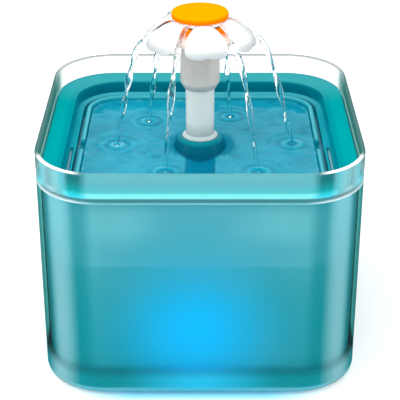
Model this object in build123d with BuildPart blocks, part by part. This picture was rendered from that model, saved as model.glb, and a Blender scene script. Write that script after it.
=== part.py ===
from build123d import *
import os

# Square drinking fountain with a flower spout. Millimetres, +Z up, front towards -Y.
# The origin is the middle of the footprint, on the surface that the feet stand on.

os.makedirs("parts", exist_ok=True)

# ---- driving dimensions: outer body ----
body_width = 180.0  # outer width, both ways
body_corner = 36.0  # corner radius of the outer plan
shell_top = 122.8  # height of the shell's rim
shell_wall = 2.2
shell_floor = 2.6
shell_round = 4.0  # round between the shell's walls and its floor
foot_height = 1.2
foot_radius = 7.0
foot_inset = 28.0  # foot centres, in from the outer sides
tank_gap = 0.9  # air between the shell and the reservoir
tank_wall = 2.0
tank_floor = 2.4
lip_height = 2.4  # reservoir lip that lies on the shell's rim
lip_setback = 1.6  # how far the lip stays behind the shell's face: the shadow groove
ring_height = 14.2  # clear splash ring
ring_wall = 2.4
ring_round = 0.9
seat_gap = 0.2  # between flat seats of pieces that lift apart
join_gap = 0.1  # between curved faces of pieces of one body

# ---- cover frame ----
flange_edge = 2.1  # thickness at the frame's outer edge
flange_width = 10.8
flange_fall = 1.5  # how far the flange falls inwards
frame_wall = 2.0
wall_lean = 1.0  # the steep wall leans in by this much
wall_corner = 26.0  # corner radius at the foot of the steep wall
ledge_drop = 9.2  # from the frame's edge down to its ledge
ledge_width = 3.3
ledge_thick = 2.0
step_drop = 4.3  # from the ledge down to the step that carries the tray
step_thick = 1.8
step_width = 2.6
drain_length = 32.0
drain_shift = 24.5  # slots lie this far in front of the middle
drain_width = 2.2

# ---- drinking tray ----
rim_gap = 0.4  # round the tray's rim
rim_thick = 1.8
bead_inset = 2.8  # from the rim's edge to the middle of the bead
bead_radius = 1.3
bead_rise = 3.0  # bead's top above the rim
notch_width = 14.0
notch_shift = 6.0  # spill notches lie this far in front of the middle
basin_depth = 20.0  # from the rim's top to the basin's floor
basin_lean = 16.0  # lean of the basin's walls, degrees
basin_wall = 1.8
basin_round = 5.0
bulb_radius = 15.5
bulb_half_height = 6.7
bulb_sink = 0.5  # widest ring of the bulb, below the rim's top
bulb_neck = 11.8  # radius of the ring on top of the bulb
neck_height = 1.4
pedestal_radius = 8.2

# ---- stem ----
spigot_radius = 5.6
spigot_bore = 3.6
spigot_fit = 0.05
spigot_length = 17.7
stem_flange_radius = 10.2
stem_flange_height = 1.9
stem_foot_radius = 8.2
stem_head_radius = 8.4
stem_height = 31.8  # visible tube, flange to socket
stem_bore = 5.5
stem_spigot_radius = 7.6
stem_spigot_length = 12.5
seal_radius = 0.65
seal_drop = 8.0  # below the stem's flange

# ---- flower ----
socket_radius = 11.4
socket_length = 27.1
socket_taper = 3.8  # height of the chamfer at the socket's foot
socket_mouth = 9.4  # outer radius at the very foot
socket_overlap = 3.0  # how far the socket's skirt hangs over the stem's tube
socket_fit = 0.3
hub_fit = 0.05
hub_radius = 8.6
hub_length = 6.0
petal_count = 6
petal_turn = -82.5  # direction of the first petal, degrees from +X
petal_reach = 32.0
petal_root = 16.0
petal_drop = 12.0  # from the petal's root down to its tip
petal_bulge = 2.3  # how far the petal's top bows above a straight line
petal_thick = 2.3
petal_root_width = 12.6
petal_width = 24.4
petal_wide_at = 27.0
petal_round = 4.0
petal_base_height = 14.9  # petal roots above the socket's top
spreader_radius = 25.0
spreader_gap = 0.3
spreader_thick = 2.0
spreader_bend = 1.2  # how the spreader follows the petals down
channel_width = 4.0
channel_depth = 1.0
core_radius = 16.05
core_thick = 3.1
core_round = 0.8
plug_radius = 4.9
plug_length = 7.0
plug_fit = 0.05

# ---- filter ----
basket_wall = 1.8
basket_bottom = 72.0  # height of the basket's underside
basket_floor = 2.0
basket_gap = 0.2
basket_window_width = 20.0
basket_window_height = 20.0
window_pitch = 26.0
window_count = 4  # in each wall
slot_width = 3.0
slot_count = 11  # in each of two banks
slot_pitch = 10.0
slot_share = 0.7  # slot length as a share of half the width
grid_inset = 7.0  # grid's edge, inside the basket's walls
cartridge_inset = 1.2  # inside the cover's opening
cartridge_height = 14.0
cartridge_wall = 1.6
cartridge_corner = 20.0
cartridge_hole = 8.0
carbon_height = 6.0
cotton_height = 5.0
layer_gap = 0.2

# ---- pump ----
cup_height = 5.0
cup_radius = 6.0
cup_lip = 0.6
cup_place_x = 12.5
cup_front_y = 2.0
cup_rear_y = 27.0
pump_width = 38.0
pump_height = 34.0
pump_front = -4.0  # front face of the housing along Y
pump_rear = 34.0
pump_corner = 4.0
axis_drop = 14.0  # rotor axis below the housing's top
chamber_radius = 10.6
chamber_depth = 11.0
well_radius = 6.6
well_end = 27.5
can_wall = 1.2
pocket_start = 10.0
pocket_wall = 2.2
can_end = 32.0
shaft_radius = 1.0
shaft_fit = 0.05
bush_radius = 2.2
bush_length = 2.6
rotor_radius = 6.1
rotor_start = 7.6
rotor_end = 26.4
impeller_radius = 9.6
impeller_hub = 2.8
blade_count = 6
blade_thick = 1.3
blade_front = -2.8
impeller_disc = 1.6
core_stack = 10.0
core_start = 14.0
coil_radius = 11.6
coil_length = 3.2
potting_start = 30.4
nozzle_radius = 3.9
nozzle_bore = 2.8
nozzle_height = 8.0
pipe_radius = 5.4
pipe_lap = 6.0  # how far the pipe slides over the nozzle
pipe_top_gap = 1.0  # between the pipe's top and the stem's spigot
gland_radius = 4.0
gland_tip_radius = 2.8
gland_length = 9.0
gland_bore = 1.9
gland_drop = 6.0  # cable gland's middle below the housing's top

# ---- pump cover ----
cover_length = 14.0
cover_wall = 1.6
cover_rise = 7.5  # cover's underside above the housing's base
grille_count = 5
grille_width = 2.4
grille_pitch = 5.6
grille_height = 14.0
plate_thick = 2.2
intake_radius = 4.4
spoke_width = 1.2
slider_width = 12.0
slider_height = 9.0
slider_thick = 2.0
knob_width = 3.0
knob_height = 7.2
knob_depth = 2.2

# ---- light ----
light_width = 30.0
light_height = 7.0
light_depth = 6.5
light_wall = 1.2
lip_thick = 3.0  # housing's foot that carries the light bar
lens_radius = 2.5
lens_round = 1.0
lens_pitch = 9.0
board_thick = 1.2

# ---- cable outlet ----
grommet_radius = 4.6  # half of the tongue's width
grommet_bore = 2.4
grommet_flange = 6.4  # half of the flange's width
grommet_flange_thick = 1.5
grommet_drop = 16.8  # the bore, below the shell's rim

# ---- heights and widths that follow ----
body_half = body_width / 2
shell_base = foot_height
foot_place = body_half - foot_inset
grommet_height = shell_top - grommet_drop
tank_base = shell_base + shell_floor + tank_gap
tank_half = body_half - shell_wall - tank_gap
tank_inner = tank_half - tank_wall
lip_top = shell_top + lip_height
notch_half = grommet_radius + join_gap
notch_base = grommet_height - notch_half
tongue_height = shell_top - grommet_height + grommet_flange
ring_base = lip_top + seat_gap
ring_inner = body_half - ring_wall
frame_half = ring_inner - join_gap
frame_top = ring_base + flange_edge
flange_inner = frame_half - flange_width
wall_inner = flange_inner - wall_lean
ledge_top = frame_top - ledge_drop
ledge_inner = wall_inner - ledge_width
step_top = ledge_top - step_drop
step_inner = ledge_inner - step_width
tray_half = ledge_inner - rim_gap
rim_base = step_top + seat_gap
rim_top = rim_base + rim_thick
bead_half = tray_half - bead_inset
basin_half = bead_half - bead_radius
basin_floor_top = rim_top - basin_depth
basin_floor_base = basin_floor_top - basin_wall
bulb_middle = rim_top - bulb_sink
neck_base = bulb_middle + bulb_half_height - neck_height
neck_top = neck_base + neck_height
stem_seat = neck_top + seat_gap
tube_base = stem_seat + stem_flange_height
tube_top = tube_base + stem_height
spigot_base = stem_seat - spigot_length
stem_top = tube_top + stem_spigot_length
socket_base = tube_top - socket_overlap
socket_top = socket_base + socket_length
petal_base = socket_top + petal_base_height
core_base = petal_base + seat_gap
ledge_corner = wall_corner - ledge_width


def corner_at(half):
    """Corner radius of the outer plan, offset inwards to a half width."""
    return body_corner - (body_half - half)


def tray_corner(half):
    """Corner radius of the tray well, offset inwards from the ledge."""
    return ledge_corner - (ledge_inner - half)


def square_plan(half, corner):
    """Square with round corners, about the middle."""
    RectangleRounded(2 * half, 2 * half, corner)


def upright(y):
    """Upright plane across the pump at a depth y, facing the front."""
    return Plane.XZ.offset(-y)


def finish(piece, label):
    """Name a finished piece and write it."""
    piece.part.label = label
    export_step(piece.part, f"parts/{label}.step")


# ================= body that stays on the floor =================

with BuildPart() as outer_shell:
    with BuildSketch(Plane.XY.offset(shell_base)):
        square_plan(body_half, body_corner)
    extrude(amount=shell_top - shell_base)
    fillet(outer_shell.faces().sort_by(Axis.Z)[0].edges(), shell_round)
    with BuildSketch(Plane.XY.offset(shell_base + shell_floor)):
        square_plan(body_half - shell_wall, corner_at(body_half - shell_wall))
    extrude(amount=shell_top - shell_base, mode=Mode.SUBTRACT)
    # notch for the cable's rubber tongue, open at the rim
    with BuildSketch(upright(body_half)):
        with Locations((0, notch_base)):
            Rectangle(2 * notch_half, lip_top - notch_base, align=(Align.CENTER, Align.MIN))
    extrude(amount=shell_wall + tank_gap / 2, mode=Mode.SUBTRACT)
finish(outer_shell, "outer_shell")

with BuildPart() as inner_tank:
    with BuildSketch(Plane.XY.offset(tank_base)):
        square_plan(tank_half, corner_at(tank_half))
    extrude(amount=lip_top - tank_base)
    fillet(inner_tank.faces().sort_by(Axis.Z)[0].edges(), shell_round)
    with BuildSketch(Plane.XY.offset(shell_top)):
        square_plan(body_half - lip_setback, corner_at(body_half - lip_setback))
    extrude(amount=lip_height)
    with BuildSketch(Plane.XY.offset(tank_base + tank_floor)):
        square_plan(tank_inner, corner_at(tank_inner))
    extrude(amount=lip_top - tank_base, mode=Mode.SUBTRACT)
    with BuildSketch(upright(body_half)):
        with Locations((0, notch_base)):
            Rectangle(2 * notch_half, lip_top - notch_base, align=(Align.CENTER, Align.MIN))
    extrude(amount=body_half - tank_inner + tank_gap, mode=Mode.SUBTRACT)
finish(inner_tank, "inner_tank")

foot_index = 0
for foot_x in (-foot_place, foot_place):
    for foot_y in (-foot_place, foot_place):
        foot_index += 1
        with BuildPart() as foot_pad:
            with BuildSketch():
                with Locations((foot_x, foot_y)):
                    Circle(foot_radius)
            extrude(amount=foot_height)
            chamfer(foot_pad.faces().sort_by(Axis.Z)[0].edges(), foot_height / 4)
        finish(foot_pad, f"foot_pad_{foot_index}")

# Rubber tongue that fills the notch in both back walls; the pump's cable goes through it.
with BuildPart() as cable_grommet:
    with BuildSketch(upright(body_half - join_gap)):
        with Locations((0, notch_base + join_gap)):
            Rectangle(2 * grommet_radius, shell_top - notch_base - join_gap, align=(Align.CENTER, Align.MIN))
    extrude(amount=body_half - join_gap - tank_inner)
    with BuildSketch(upright(body_half - lip_setback)):
        with Locations((0, shell_top)):
            Rectangle(2 * grommet_radius, lip_height, align=(Align.CENTER, Align.MIN))
    extrude(amount=body_half - lip_setback - tank_inner)
    with BuildSketch(upright(tank_inner)):
        with Locations((0, grommet_height - grommet_flange)):
            Rectangle(2 * grommet_flange, tongue_height, align=(Align.CENTER, Align.MIN))
    extrude(amount=grommet_flange_thick)
    with BuildSketch(upright(body_half)):
        with Locations((0, grommet_height)):
            Circle(grommet_bore)
    extrude(amount=body_half - tank_inner + grommet_flange_thick, mode=Mode.SUBTRACT)
finish(cable_grommet, "cable_grommet")

# ================= cover: splash ring, frame, filter basket =================

with BuildPart() as splash_ring:
    with BuildSketch(Plane.XY.offset(ring_base)):
        square_plan(body_half, body_corner)
        RectangleRounded(2 * ring_inner, 2 * ring_inner, corner_at(ring_inner), mode=Mode.SUBTRACT)
    extrude(amount=ring_height)
    fillet(splash_ring.faces().sort_by(Axis.Z)[-1].edges(), ring_round)
finish(splash_ring, "splash_ring")

with BuildPart() as cover_frame:
    with BuildSketch(Plane.XY.offset(ring_base)):
        square_plan(frame_half, corner_at(frame_half))
    extrude(amount=flange_edge)
    with BuildSketch(Plane.XY.offset(ledge_top - ledge_thick)):
        square_plan(wall_inner + frame_wall, wall_corner + frame_wall)
    extrude(amount=frame_top - ledge_top + ledge_thick - flange_edge / 2)
    with BuildSketch(Plane.XY.offset(step_top - step_thick)):
        square_plan(ledge_inner + frame_wall, ledge_corner + frame_wall)
    extrude(amount=ledge_top - step_top + step_thick)
    # the flange falls inwards
    with BuildSketch(Plane.XY.offset(frame_top)):
        square_plan(frame_half - flange_edge / 2, corner_at(frame_half - flange_edge / 2))
    with BuildSketch(Plane.XY.offset(frame_top - flange_fall)):
        square_plan(flange_inner, wall_corner + wall_lean)
    loft(mode=Mode.SUBTRACT)
    # the steep wall
    with BuildSketch(Plane.XY.offset(frame_top - flange_fall)):
        square_plan(flange_inner, wall_corner + wall_lean)
    with BuildSketch(Plane.XY.offset(ledge_top)):
        square_plan(wall_inner, wall_corner)
    loft(mode=Mode.SUBTRACT)
    # the well for the tray's rim, and the opening for its basin
    with BuildSketch(Plane.XY.offset(step_top)):
        square_plan(ledge_inner, ledge_corner)
    extrude(amount=step_drop, mode=Mode.SUBTRACT)
    with BuildSketch(Plane.XY.offset(step_top - step_thick)):
        square_plan(step_inner, tray_corner(step_inner))
    extrude(amount=step_thick, mode=Mode.SUBTRACT)
    # drain slots in the step, left and right, beside the tray's notches
    with BuildSketch(Plane.XY.offset(ledge_top - ledge_thick)):
        for side in (-1, 1):
            with Locations((side * (wall_inner - drain_width / 2), -drain_shift)):
                Rectangle(drain_width, drain_length)
    extrude(amount=ledge_thick, mode=Mode.SUBTRACT)
finish(cover_frame, "cover_frame")

basket_inner = ledge_inner + frame_wall + basket_gap
basket_half = basket_inner + basket_wall
basket_corner = ledge_corner + frame_wall + basket_gap + basket_wall
basket_top = ledge_top - ledge_thick
grid_half = basket_inner - grid_inset
grid_corner = basket_corner - basket_wall - grid_inset
basket_middle = (basket_bottom + basket_floor + step_top - step_thick) / 2

with BuildPart() as filter_basket:
    with BuildSketch(Plane.XY.offset(basket_bottom)):
        square_plan(basket_half, basket_corner)
    extrude(amount=basket_top - basket_bottom)
    with BuildSketch(Plane.XY.offset(basket_bottom + basket_floor)):
        square_plan(basket_inner, basket_corner - basket_wall)
    extrude(amount=basket_top - basket_bottom, mode=Mode.SUBTRACT)
    # windows in the four walls
    with BuildSketch(upright(basket_half)):
        with Locations((0, basket_middle)):
            with GridLocations(window_pitch, 1, window_count, 1):
                Rectangle(basket_window_width, basket_window_height)
    extrude(amount=2 * basket_half, mode=Mode.SUBTRACT)
    with BuildSketch(Plane.YZ.offset(-basket_half)):
        with Locations((0, basket_middle)):
            with GridLocations(window_pitch, 1, window_count, 1):
                Rectangle(basket_window_width, basket_window_height)
    extrude(amount=2 * basket_half, mode=Mode.SUBTRACT)
    # opening for the grid
    with BuildSketch(Plane.XY.offset(basket_bottom)):
        square_plan(grid_half + join_gap, grid_corner + join_gap)
    extrude(amount=basket_floor, mode=Mode.SUBTRACT)
finish(filter_basket, "filter_basket")

# Grid snapped into the basket's floor: slots in two banks, and the hole for the riser pipe.
with BuildPart() as basket_grid:
    with BuildSketch(Plane.XY.offset(basket_bottom)):
        square_plan(grid_half, grid_corner)
        with GridLocations(grid_half, slot_pitch, 2, slot_count):
            SlotOverall(grid_half * slot_share, slot_width, mode=Mode.SUBTRACT)
        Circle(cartridge_hole, mode=Mode.SUBTRACT)
    extrude(amount=basket_floor)
finish(basket_grid, "basket_grid")

# ================= drinking tray =================

with BuildPart() as drinking_tray:
    with BuildSketch(Plane.XY.offset(rim_base)):
        square_plan(tray_half, tray_corner(tray_half))
    extrude(amount=rim_thick)
    # bead round the basin
    with BuildSketch(Plane.XY.offset(rim_top)):
        square_plan(bead_half + bead_radius, tray_corner(bead_half + bead_radius))
    extrude(amount=bead_rise)
    bead_edges = drinking_tray.faces().sort_by(Axis.Z)[-1].edges()
    fillet(bead_edges, bead_radius)
    # outside of the basin
    with BuildSketch(Plane.XY.offset(rim_top)):
        square_plan(basin_half + basin_wall, tray_corner(basin_half + basin_wall))
    extrude(amount=-basin_depth - basin_wall, taper=basin_lean)
    # inside of the basin
    with BuildSketch(Plane.XY.offset(rim_top)):
        square_plan(basin_half, tray_corner(basin_half))
    extrude(amount=-basin_depth, taper=basin_lean, mode=Mode.SUBTRACT)
    basin_bottom = drinking_tray.faces().filter_by(Plane.XY).sort_by(Axis.Z)[1]
    fillet(basin_bottom.edges(), basin_round)
    with BuildSketch(Plane.XY.offset(rim_top)):
        square_plan(basin_half, tray_corner(basin_half))
    extrude(amount=bead_rise + bead_radius, mode=Mode.SUBTRACT)
    # spill notches, left and right
    with BuildSketch(Plane.XY.offset(rim_top)):
        for side in (-1, 1):
            with Locations((side * bead_half, -notch_shift)):
                Rectangle(4 * bead_radius, notch_width)
    extrude(amount=bead_rise + bead_radius, mode=Mode.SUBTRACT)
    # bulb on its pedestal, in the middle of the basin
    with BuildSketch(Plane.XZ):
        with BuildLine():
            foot_point = (pedestal_radius, bulb_middle - bulb_half_height)
            neck_point = (bulb_neck + neck_height, neck_base)
            RadiusArc(foot_point, (bulb_radius, bulb_middle), -bulb_radius)
            RadiusArc((bulb_radius, bulb_middle), neck_point, -1.5 * bulb_radius)
            Line(neck_point, (bulb_neck, neck_top))
            Line((bulb_neck, neck_top), (0, neck_top))
            Line((0, neck_top), (0, basin_floor_base))
            Line((0, basin_floor_base), (pedestal_radius, basin_floor_base))
            Line((pedestal_radius, basin_floor_base), foot_point)
        make_face()
    revolve(axis=Axis.Z)
    # bore for the stem's spigot from above and the riser pipe from below
    with BuildSketch(Plane.XY.offset(basin_floor_base)):
        Circle(spigot_radius + spigot_fit)
    extrude(amount=neck_top - basin_floor_base, mode=Mode.SUBTRACT)
finish(drinking_tray, "drinking_tray")

# ================= riser stem =================

seal_ring = spigot_radius - seal_radius

with BuildPart() as riser_stem:
    with BuildSketch(Plane.XZ):
        with BuildLine():
            Polyline(
                (spigot_bore, spigot_base),
                (spigot_radius, spigot_base),
                (spigot_radius, stem_seat),
                (stem_flange_radius, stem_seat),
                (stem_flange_radius, stem_seat + stem_flange_height / 3),
                (stem_foot_radius, tube_base),
                (stem_head_radius, tube_top),
                (stem_spigot_radius, tube_top),
                (stem_spigot_radius, stem_top),
                (stem_bore, stem_top),
                (stem_bore, tube_base),
                (spigot_bore, stem_seat - stem_flange_height),
                close=True,
            )
        make_face()
        with Locations((seal_ring, stem_seat - seal_drop)):
            Rectangle(2 * seal_radius + join_gap, 2 * seal_radius + join_gap, mode=Mode.SUBTRACT)
        with Locations((spigot_radius, stem_seat - seal_drop)):
            Rectangle(2 * seal_radius, 2 * seal_radius + join_gap, mode=Mode.SUBTRACT)
    revolve(axis=Axis.Z)
finish(riser_stem, "riser_stem")

with BuildPart() as stem_seal:
    with Locations((0, 0, stem_seat - seal_drop)):
        Torus(seal_ring, seal_radius)
finish(stem_seal, "stem_seal")

# ================= flower socket =================

hub_base = socket_top - hub_length

with BuildPart() as flower_socket:
    with BuildSketch(Plane.XZ):
        with BuildLine():
            Polyline(
                (stem_head_radius + socket_fit, socket_base),
                (socket_mouth, socket_base),
                (socket_radius, socket_base + socket_taper),
                (socket_radius, socket_top),
                (hub_radius + hub_fit, socket_top),
                (hub_radius + hub_fit, hub_base),
                (stem_bore, hub_base),
                (stem_bore, stem_top + seat_gap),
                (stem_spigot_radius + spigot_fit, stem_top + seat_gap),
                (stem_spigot_radius + spigot_fit, tube_top + seat_gap),
                (stem_head_radius + socket_fit, tube_top + seat_gap),
                close=True,
            )
        make_face()
    revolve(axis=Axis.Z)
    chamfer(flower_socket.faces().sort_by(Axis.Z)[-1].edges(), socket_fit)
finish(flower_socket, "flower_socket")

# ================= petals =================

petal_tip_z = petal_base - petal_drop
bow_r = (petal_root + petal_reach) / 2
bow_z = petal_base - petal_drop / 2 + petal_bulge


def petal_arc(drop, reach):
    """Curve of the petal's top, lowered by drop and shortened to reach."""
    return ThreePointArc((petal_root, petal_base - drop), (bow_r, bow_z - drop), (reach, petal_tip_z - drop))


with BuildSketch() as petal_outline:
    with BuildLine():
        Polyline(
            (petal_wide_at, petal_width / 2),
            (petal_root, petal_root_width / 2),
            (petal_root / 2, petal_root_width / 2),
            (petal_root / 2, -petal_root_width / 2),
            (petal_root, -petal_root_width / 2),
            (petal_wide_at, -petal_width / 2),
        )
        ThreePointArc((petal_wide_at, -petal_width / 2), (petal_reach, 0), (petal_wide_at, petal_width / 2))
    make_face()
    fillet(petal_outline.vertices().group_by(Axis.X)[2], petal_round)

with BuildPart() as petal_cap:
    with BuildSketch(Plane.XZ):
        with BuildLine():
            petal_arc(0, petal_reach)
            petal_arc(petal_thick, petal_reach)
            Line((petal_reach, petal_tip_z), (petal_reach, petal_tip_z - petal_thick))
            Line((petal_root, petal_base), (0, petal_base))
            Line((0, petal_base), (0, petal_base - petal_thick))
            Line((0, petal_base - petal_thick), (petal_root, petal_base - petal_thick))
        make_face()
    revolve(axis=Axis.Z)
    with BuildSketch(Plane.XY.offset(petal_tip_z - petal_thick)):
        Circle(petal_root)
        with PolarLocations(0, petal_count, start_angle=petal_turn):
            add(petal_outline.sketch)
    extrude(amount=petal_drop + 2 * petal_thick, mode=Mode.INTERSECT)
    with BuildSketch(Plane.XY.offset(petal_base - petal_thick)):
        Circle(plug_radius + plug_fit)
    extrude(amount=petal_thick, mode=Mode.SUBTRACT)
finish(petal_cap, "petal_cap")

# Orange spreader under the petals: the water leaves through its six channels.
spreader_top = petal_base - petal_thick - spreader_gap
spreader_share = (spreader_radius - petal_root) / (petal_reach - petal_root)
spreader_reach_z = petal_base - petal_drop * spreader_share**spreader_bend
spreader_edge = spreader_reach_z - petal_thick - spreader_gap

with BuildPart() as flower_spreader:
    with BuildSketch(Plane.XZ):
        with BuildLine():
            Polyline(
                (plug_radius + plug_fit, spreader_top),
                (petal_root, spreader_top),
                (spreader_radius, spreader_edge),
                (spreader_radius, spreader_edge - spreader_thick),
                (petal_root, socket_top + seat_gap),
                (hub_radius, socket_top + seat_gap),
                (hub_radius, hub_base + seat_gap),
                (stem_bore, hub_base + seat_gap),
                (stem_bore, socket_top + spreader_thick),
                (plug_radius + plug_fit, socket_top + spreader_thick),
                close=True,
            )
        make_face()
    revolve(axis=Axis.Z)
    with BuildSketch(Plane.XY.offset(spreader_top - channel_depth)):
        with PolarLocations(petal_root / 2, petal_count, start_angle=petal_turn + 180 / petal_count):
            Rectangle(petal_root, channel_width)
    extrude(amount=channel_depth, mode=Mode.SUBTRACT)
finish(flower_spreader, "flower_spreader")

with BuildPart() as flower_core:
    with BuildSketch(Plane.XY.offset(core_base)):
        Circle(core_radius)
    extrude(amount=core_thick)
    fillet(flower_core.faces().sort_by(Axis.Z)[-1].edges(), core_round)
    with BuildSketch(Plane.XY.offset(core_base - plug_length)):
        Circle(plug_radius)
    extrude(amount=plug_length)
    chamfer(flower_core.faces().sort_by(Axis.Z)[0].edges(), core_round)
finish(flower_core, "flower_core")

# ================= filter cartridge =================

cartridge_half = step_inner - cartridge_inset
cartridge_base = basket_bottom + basket_floor + seat_gap
carbon_base = cartridge_base + cartridge_wall + layer_gap
cotton_base = carbon_base + carbon_height + layer_gap
cartridge_inner = cartridge_half - cartridge_wall
layer_half = cartridge_inner - layer_gap
layer_corner = cartridge_corner - cartridge_wall - layer_gap
layer_hole = cartridge_hole + cartridge_wall + layer_gap

with BuildPart() as filter_frame:
    with BuildSketch(Plane.XY.offset(cartridge_base)):
        square_plan(cartridge_half, cartridge_corner)
    extrude(amount=cartridge_height)
    with BuildSketch(Plane.XY.offset(cartridge_base + cartridge_wall)):
        square_plan(cartridge_inner, cartridge_corner - cartridge_wall)
        Circle(cartridge_hole + cartridge_wall, mode=Mode.SUBTRACT)
    extrude(amount=cartridge_height, mode=Mode.SUBTRACT)
    with BuildSketch(Plane.XY.offset(cartridge_base)):
        Circle(cartridge_hole)
    extrude(amount=cartridge_height, mode=Mode.SUBTRACT)
    with BuildSketch(Plane.XY.offset(cartridge_base)):
        with GridLocations(cartridge_inner, slot_pitch, 2, slot_count):
            SlotOverall(cartridge_inner * slot_share, slot_width)
    extrude(amount=cartridge_wall, mode=Mode.SUBTRACT)
finish(filter_frame, "filter_frame")

for layer_name, layer_base, layer_height in (
    ("filter_carbon", carbon_base, carbon_height),
    ("filter_cotton", cotton_base, cotton_height),
):
    with BuildPart() as filter_layer:
        with BuildSketch(Plane.XY.offset(layer_base)):
            square_plan(layer_half, layer_corner)
            Circle(layer_hole, mode=Mode.SUBTRACT)
        extrude(amount=layer_height)
    finish(filter_layer, layer_name)

# ================= pump =================

tank_floor_top = tank_base + tank_floor
pump_base = tank_floor_top + cup_height
pump_top = pump_base + pump_height
axis_z = pump_top - axis_drop
gland_z = pump_top - gland_drop
pump_middle = pump_base + pump_height / 2
can_radius = well_radius + can_wall
nozzle_top = pump_top + nozzle_height
lip_front = -cover_length + pump_front + seat_gap
bush_start = well_end + bush_length

with BuildPart() as pump_housing:
    with BuildSketch(upright(pump_rear)):
        with Locations((0, pump_middle)):
            RectangleRounded(pump_width, pump_height, pump_corner)
    extrude(amount=pump_rear - pump_front)
    # foot that reaches forward under the cover, for the light bar
    with BuildSketch(upright(pump_front)):
        with Locations((0, pump_base + lip_thick / 2)):
            Rectangle(light_width, lip_thick)
    extrude(amount=pump_front - lip_front)
    # outlet nozzle
    with BuildSketch(Plane.XY.offset(pump_top)):
        Circle(nozzle_radius)
    extrude(amount=nozzle_height)
    # impeller chamber, rotor well and rear bush pocket
    with BuildSketch(upright(pump_front + chamber_depth)):
        with Locations((0, axis_z)):
            Circle(chamber_radius)
    extrude(amount=chamber_depth, mode=Mode.SUBTRACT)
    with BuildSketch(upright(well_end)):
        with Locations((0, axis_z)):
            Circle(well_radius)
    extrude(amount=well_end - pump_front, mode=Mode.SUBTRACT)
    with BuildSketch(upright(bush_start)):
        with Locations((0, axis_z)):
            Circle(bush_radius)
    extrude(amount=bush_length, mode=Mode.SUBTRACT)
    # pocket round the rotor can, for the stator
    with BuildSketch(upright(pump_rear)):
        with Locations((0, pump_middle)):
            RectangleRounded(pump_width - 2 * pocket_wall, pump_height - 2 * pocket_wall, pump_corner / 2)
        with Locations((0, axis_z)):
            Circle(can_radius, mode=Mode.SUBTRACT)
    extrude(amount=pump_rear - pocket_start, mode=Mode.SUBTRACT)
    with BuildSketch(upright(pump_rear)):
        with Locations((0, axis_z)):
            Circle(can_radius)
    extrude(amount=pump_rear - can_end, mode=Mode.SUBTRACT)
    # outlet bore, from the chamber up
    with BuildSketch(Plane.XY.offset(axis_z)):
        Circle(nozzle_bore)
    extrude(amount=nozzle_top - axis_z, mode=Mode.SUBTRACT)
finish(pump_housing, "pump_housing")

with BuildPart() as rear_bush:
    with BuildSketch(upright(bush_start)):
        with Locations((0, axis_z)):
            Circle(bush_radius)
            Circle(shaft_radius + shaft_fit, mode=Mode.SUBTRACT)
    extrude(amount=bush_length)
finish(rear_bush, "rear_bush")

stack_width = pump_width - 2 * pocket_wall - 2 * layer_gap
stack_height = pump_height - 2 * pocket_wall - 2 * layer_gap

with BuildPart() as stator_core:
    with BuildSketch(upright(core_start + core_stack)):
        with Locations((0, pump_middle)):
            RectangleRounded(stack_width, stack_height, pump_corner / 2)
        with Locations((0, axis_z)):
            Circle(can_radius + layer_gap, mode=Mode.SUBTRACT)
    extrude(amount=core_stack)
finish(stator_core, "stator_core")

for coil_name, coil_rear in (
    ("stator_coil_front", core_start - layer_gap),
    ("stator_coil_rear", core_start + core_stack + coil_length + layer_gap),
):
    with BuildPart() as stator_coil:
        with BuildSketch(upright(coil_rear)):
            with Locations((0, axis_z)):
                Circle(coil_radius)
                Circle(can_radius + layer_gap, mode=Mode.SUBTRACT)
        extrude(amount=coil_length)
        fillet(stator_coil.edges().filter_by(GeomType.CIRCLE).sort_by(Axis.Z)[-2:], core_round)
    finish(stator_coil, coil_name)

with BuildPart() as pump_potting:
    with BuildSketch(upright(pump_rear)):
        with Locations((0, pump_middle)):
            RectangleRounded(stack_width, stack_height, pump_corner / 2)
    extrude(amount=pump_rear - potting_start)
    with BuildSketch(upright(can_end + layer_gap)):
        with Locations((0, axis_z)):
            Circle(can_radius + layer_gap)
    extrude(amount=can_end - potting_start + 2 * layer_gap, mode=Mode.SUBTRACT)
finish(pump_potting, "pump_potting")

with BuildPart() as cable_gland:
    with BuildSketch(upright(pump_rear + gland_length)):
        with Locations((0, gland_z)):
            Circle(gland_tip_radius)
    with BuildSketch(upright(pump_rear)):
        with Locations((0, gland_z)):
            Circle(gland_radius)
    loft()
    with BuildSketch(upright(pump_rear + gland_length)):
        with Locations((0, gland_z)):
            Circle(gland_bore)
    extrude(amount=gland_length - pocket_wall, mode=Mode.SUBTRACT)
finish(cable_gland, "cable_gland")

pipe_base = nozzle_top - pipe_lap
pipe_top = spigot_base - pipe_top_gap

with BuildPart() as riser_pipe:
    with BuildSketch(Plane.XY.offset(pipe_base)):
        Circle(pipe_radius)
        Circle(nozzle_radius + join_gap, mode=Mode.SUBTRACT)
    extrude(amount=pipe_top - pipe_base)
finish(riser_pipe, "riser_pipe")

cup_index = 0
for cup_x in (-cup_place_x, cup_place_x):
    for cup_y in (cup_front_y, cup_rear_y):
        cup_index += 1
        with BuildPart() as suction_cup:
            with BuildSketch(Plane.XZ):
                with BuildLine():
                    Polyline(
                        (0, tank_floor_top + cup_height),
                        (cup_radius / 2, tank_floor_top + cup_height),
                        (cup_radius / 2, tank_floor_top + cup_height / 2),
                        (cup_radius, tank_floor_top + seat_gap),
                        (cup_radius - cup_lip, tank_floor_top + seat_gap),
                        (0, tank_floor_top + cup_height / 4),
                        close=True,
                    )
                make_face()
            revolve(axis=Axis.Z)
        suction_cup.part.move(Location((cup_x, cup_y, 0)))
        finish(suction_cup, f"suction_cup_{cup_index}")

# ================= light bar =================

light_back = lip_front
light_front = light_back - light_depth
light_middle = pump_base + light_height / 2
board_back = light_front + light_wall + board_thick + layer_gap
lens_places = [-lens_pitch, 0, lens_pitch]

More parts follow.
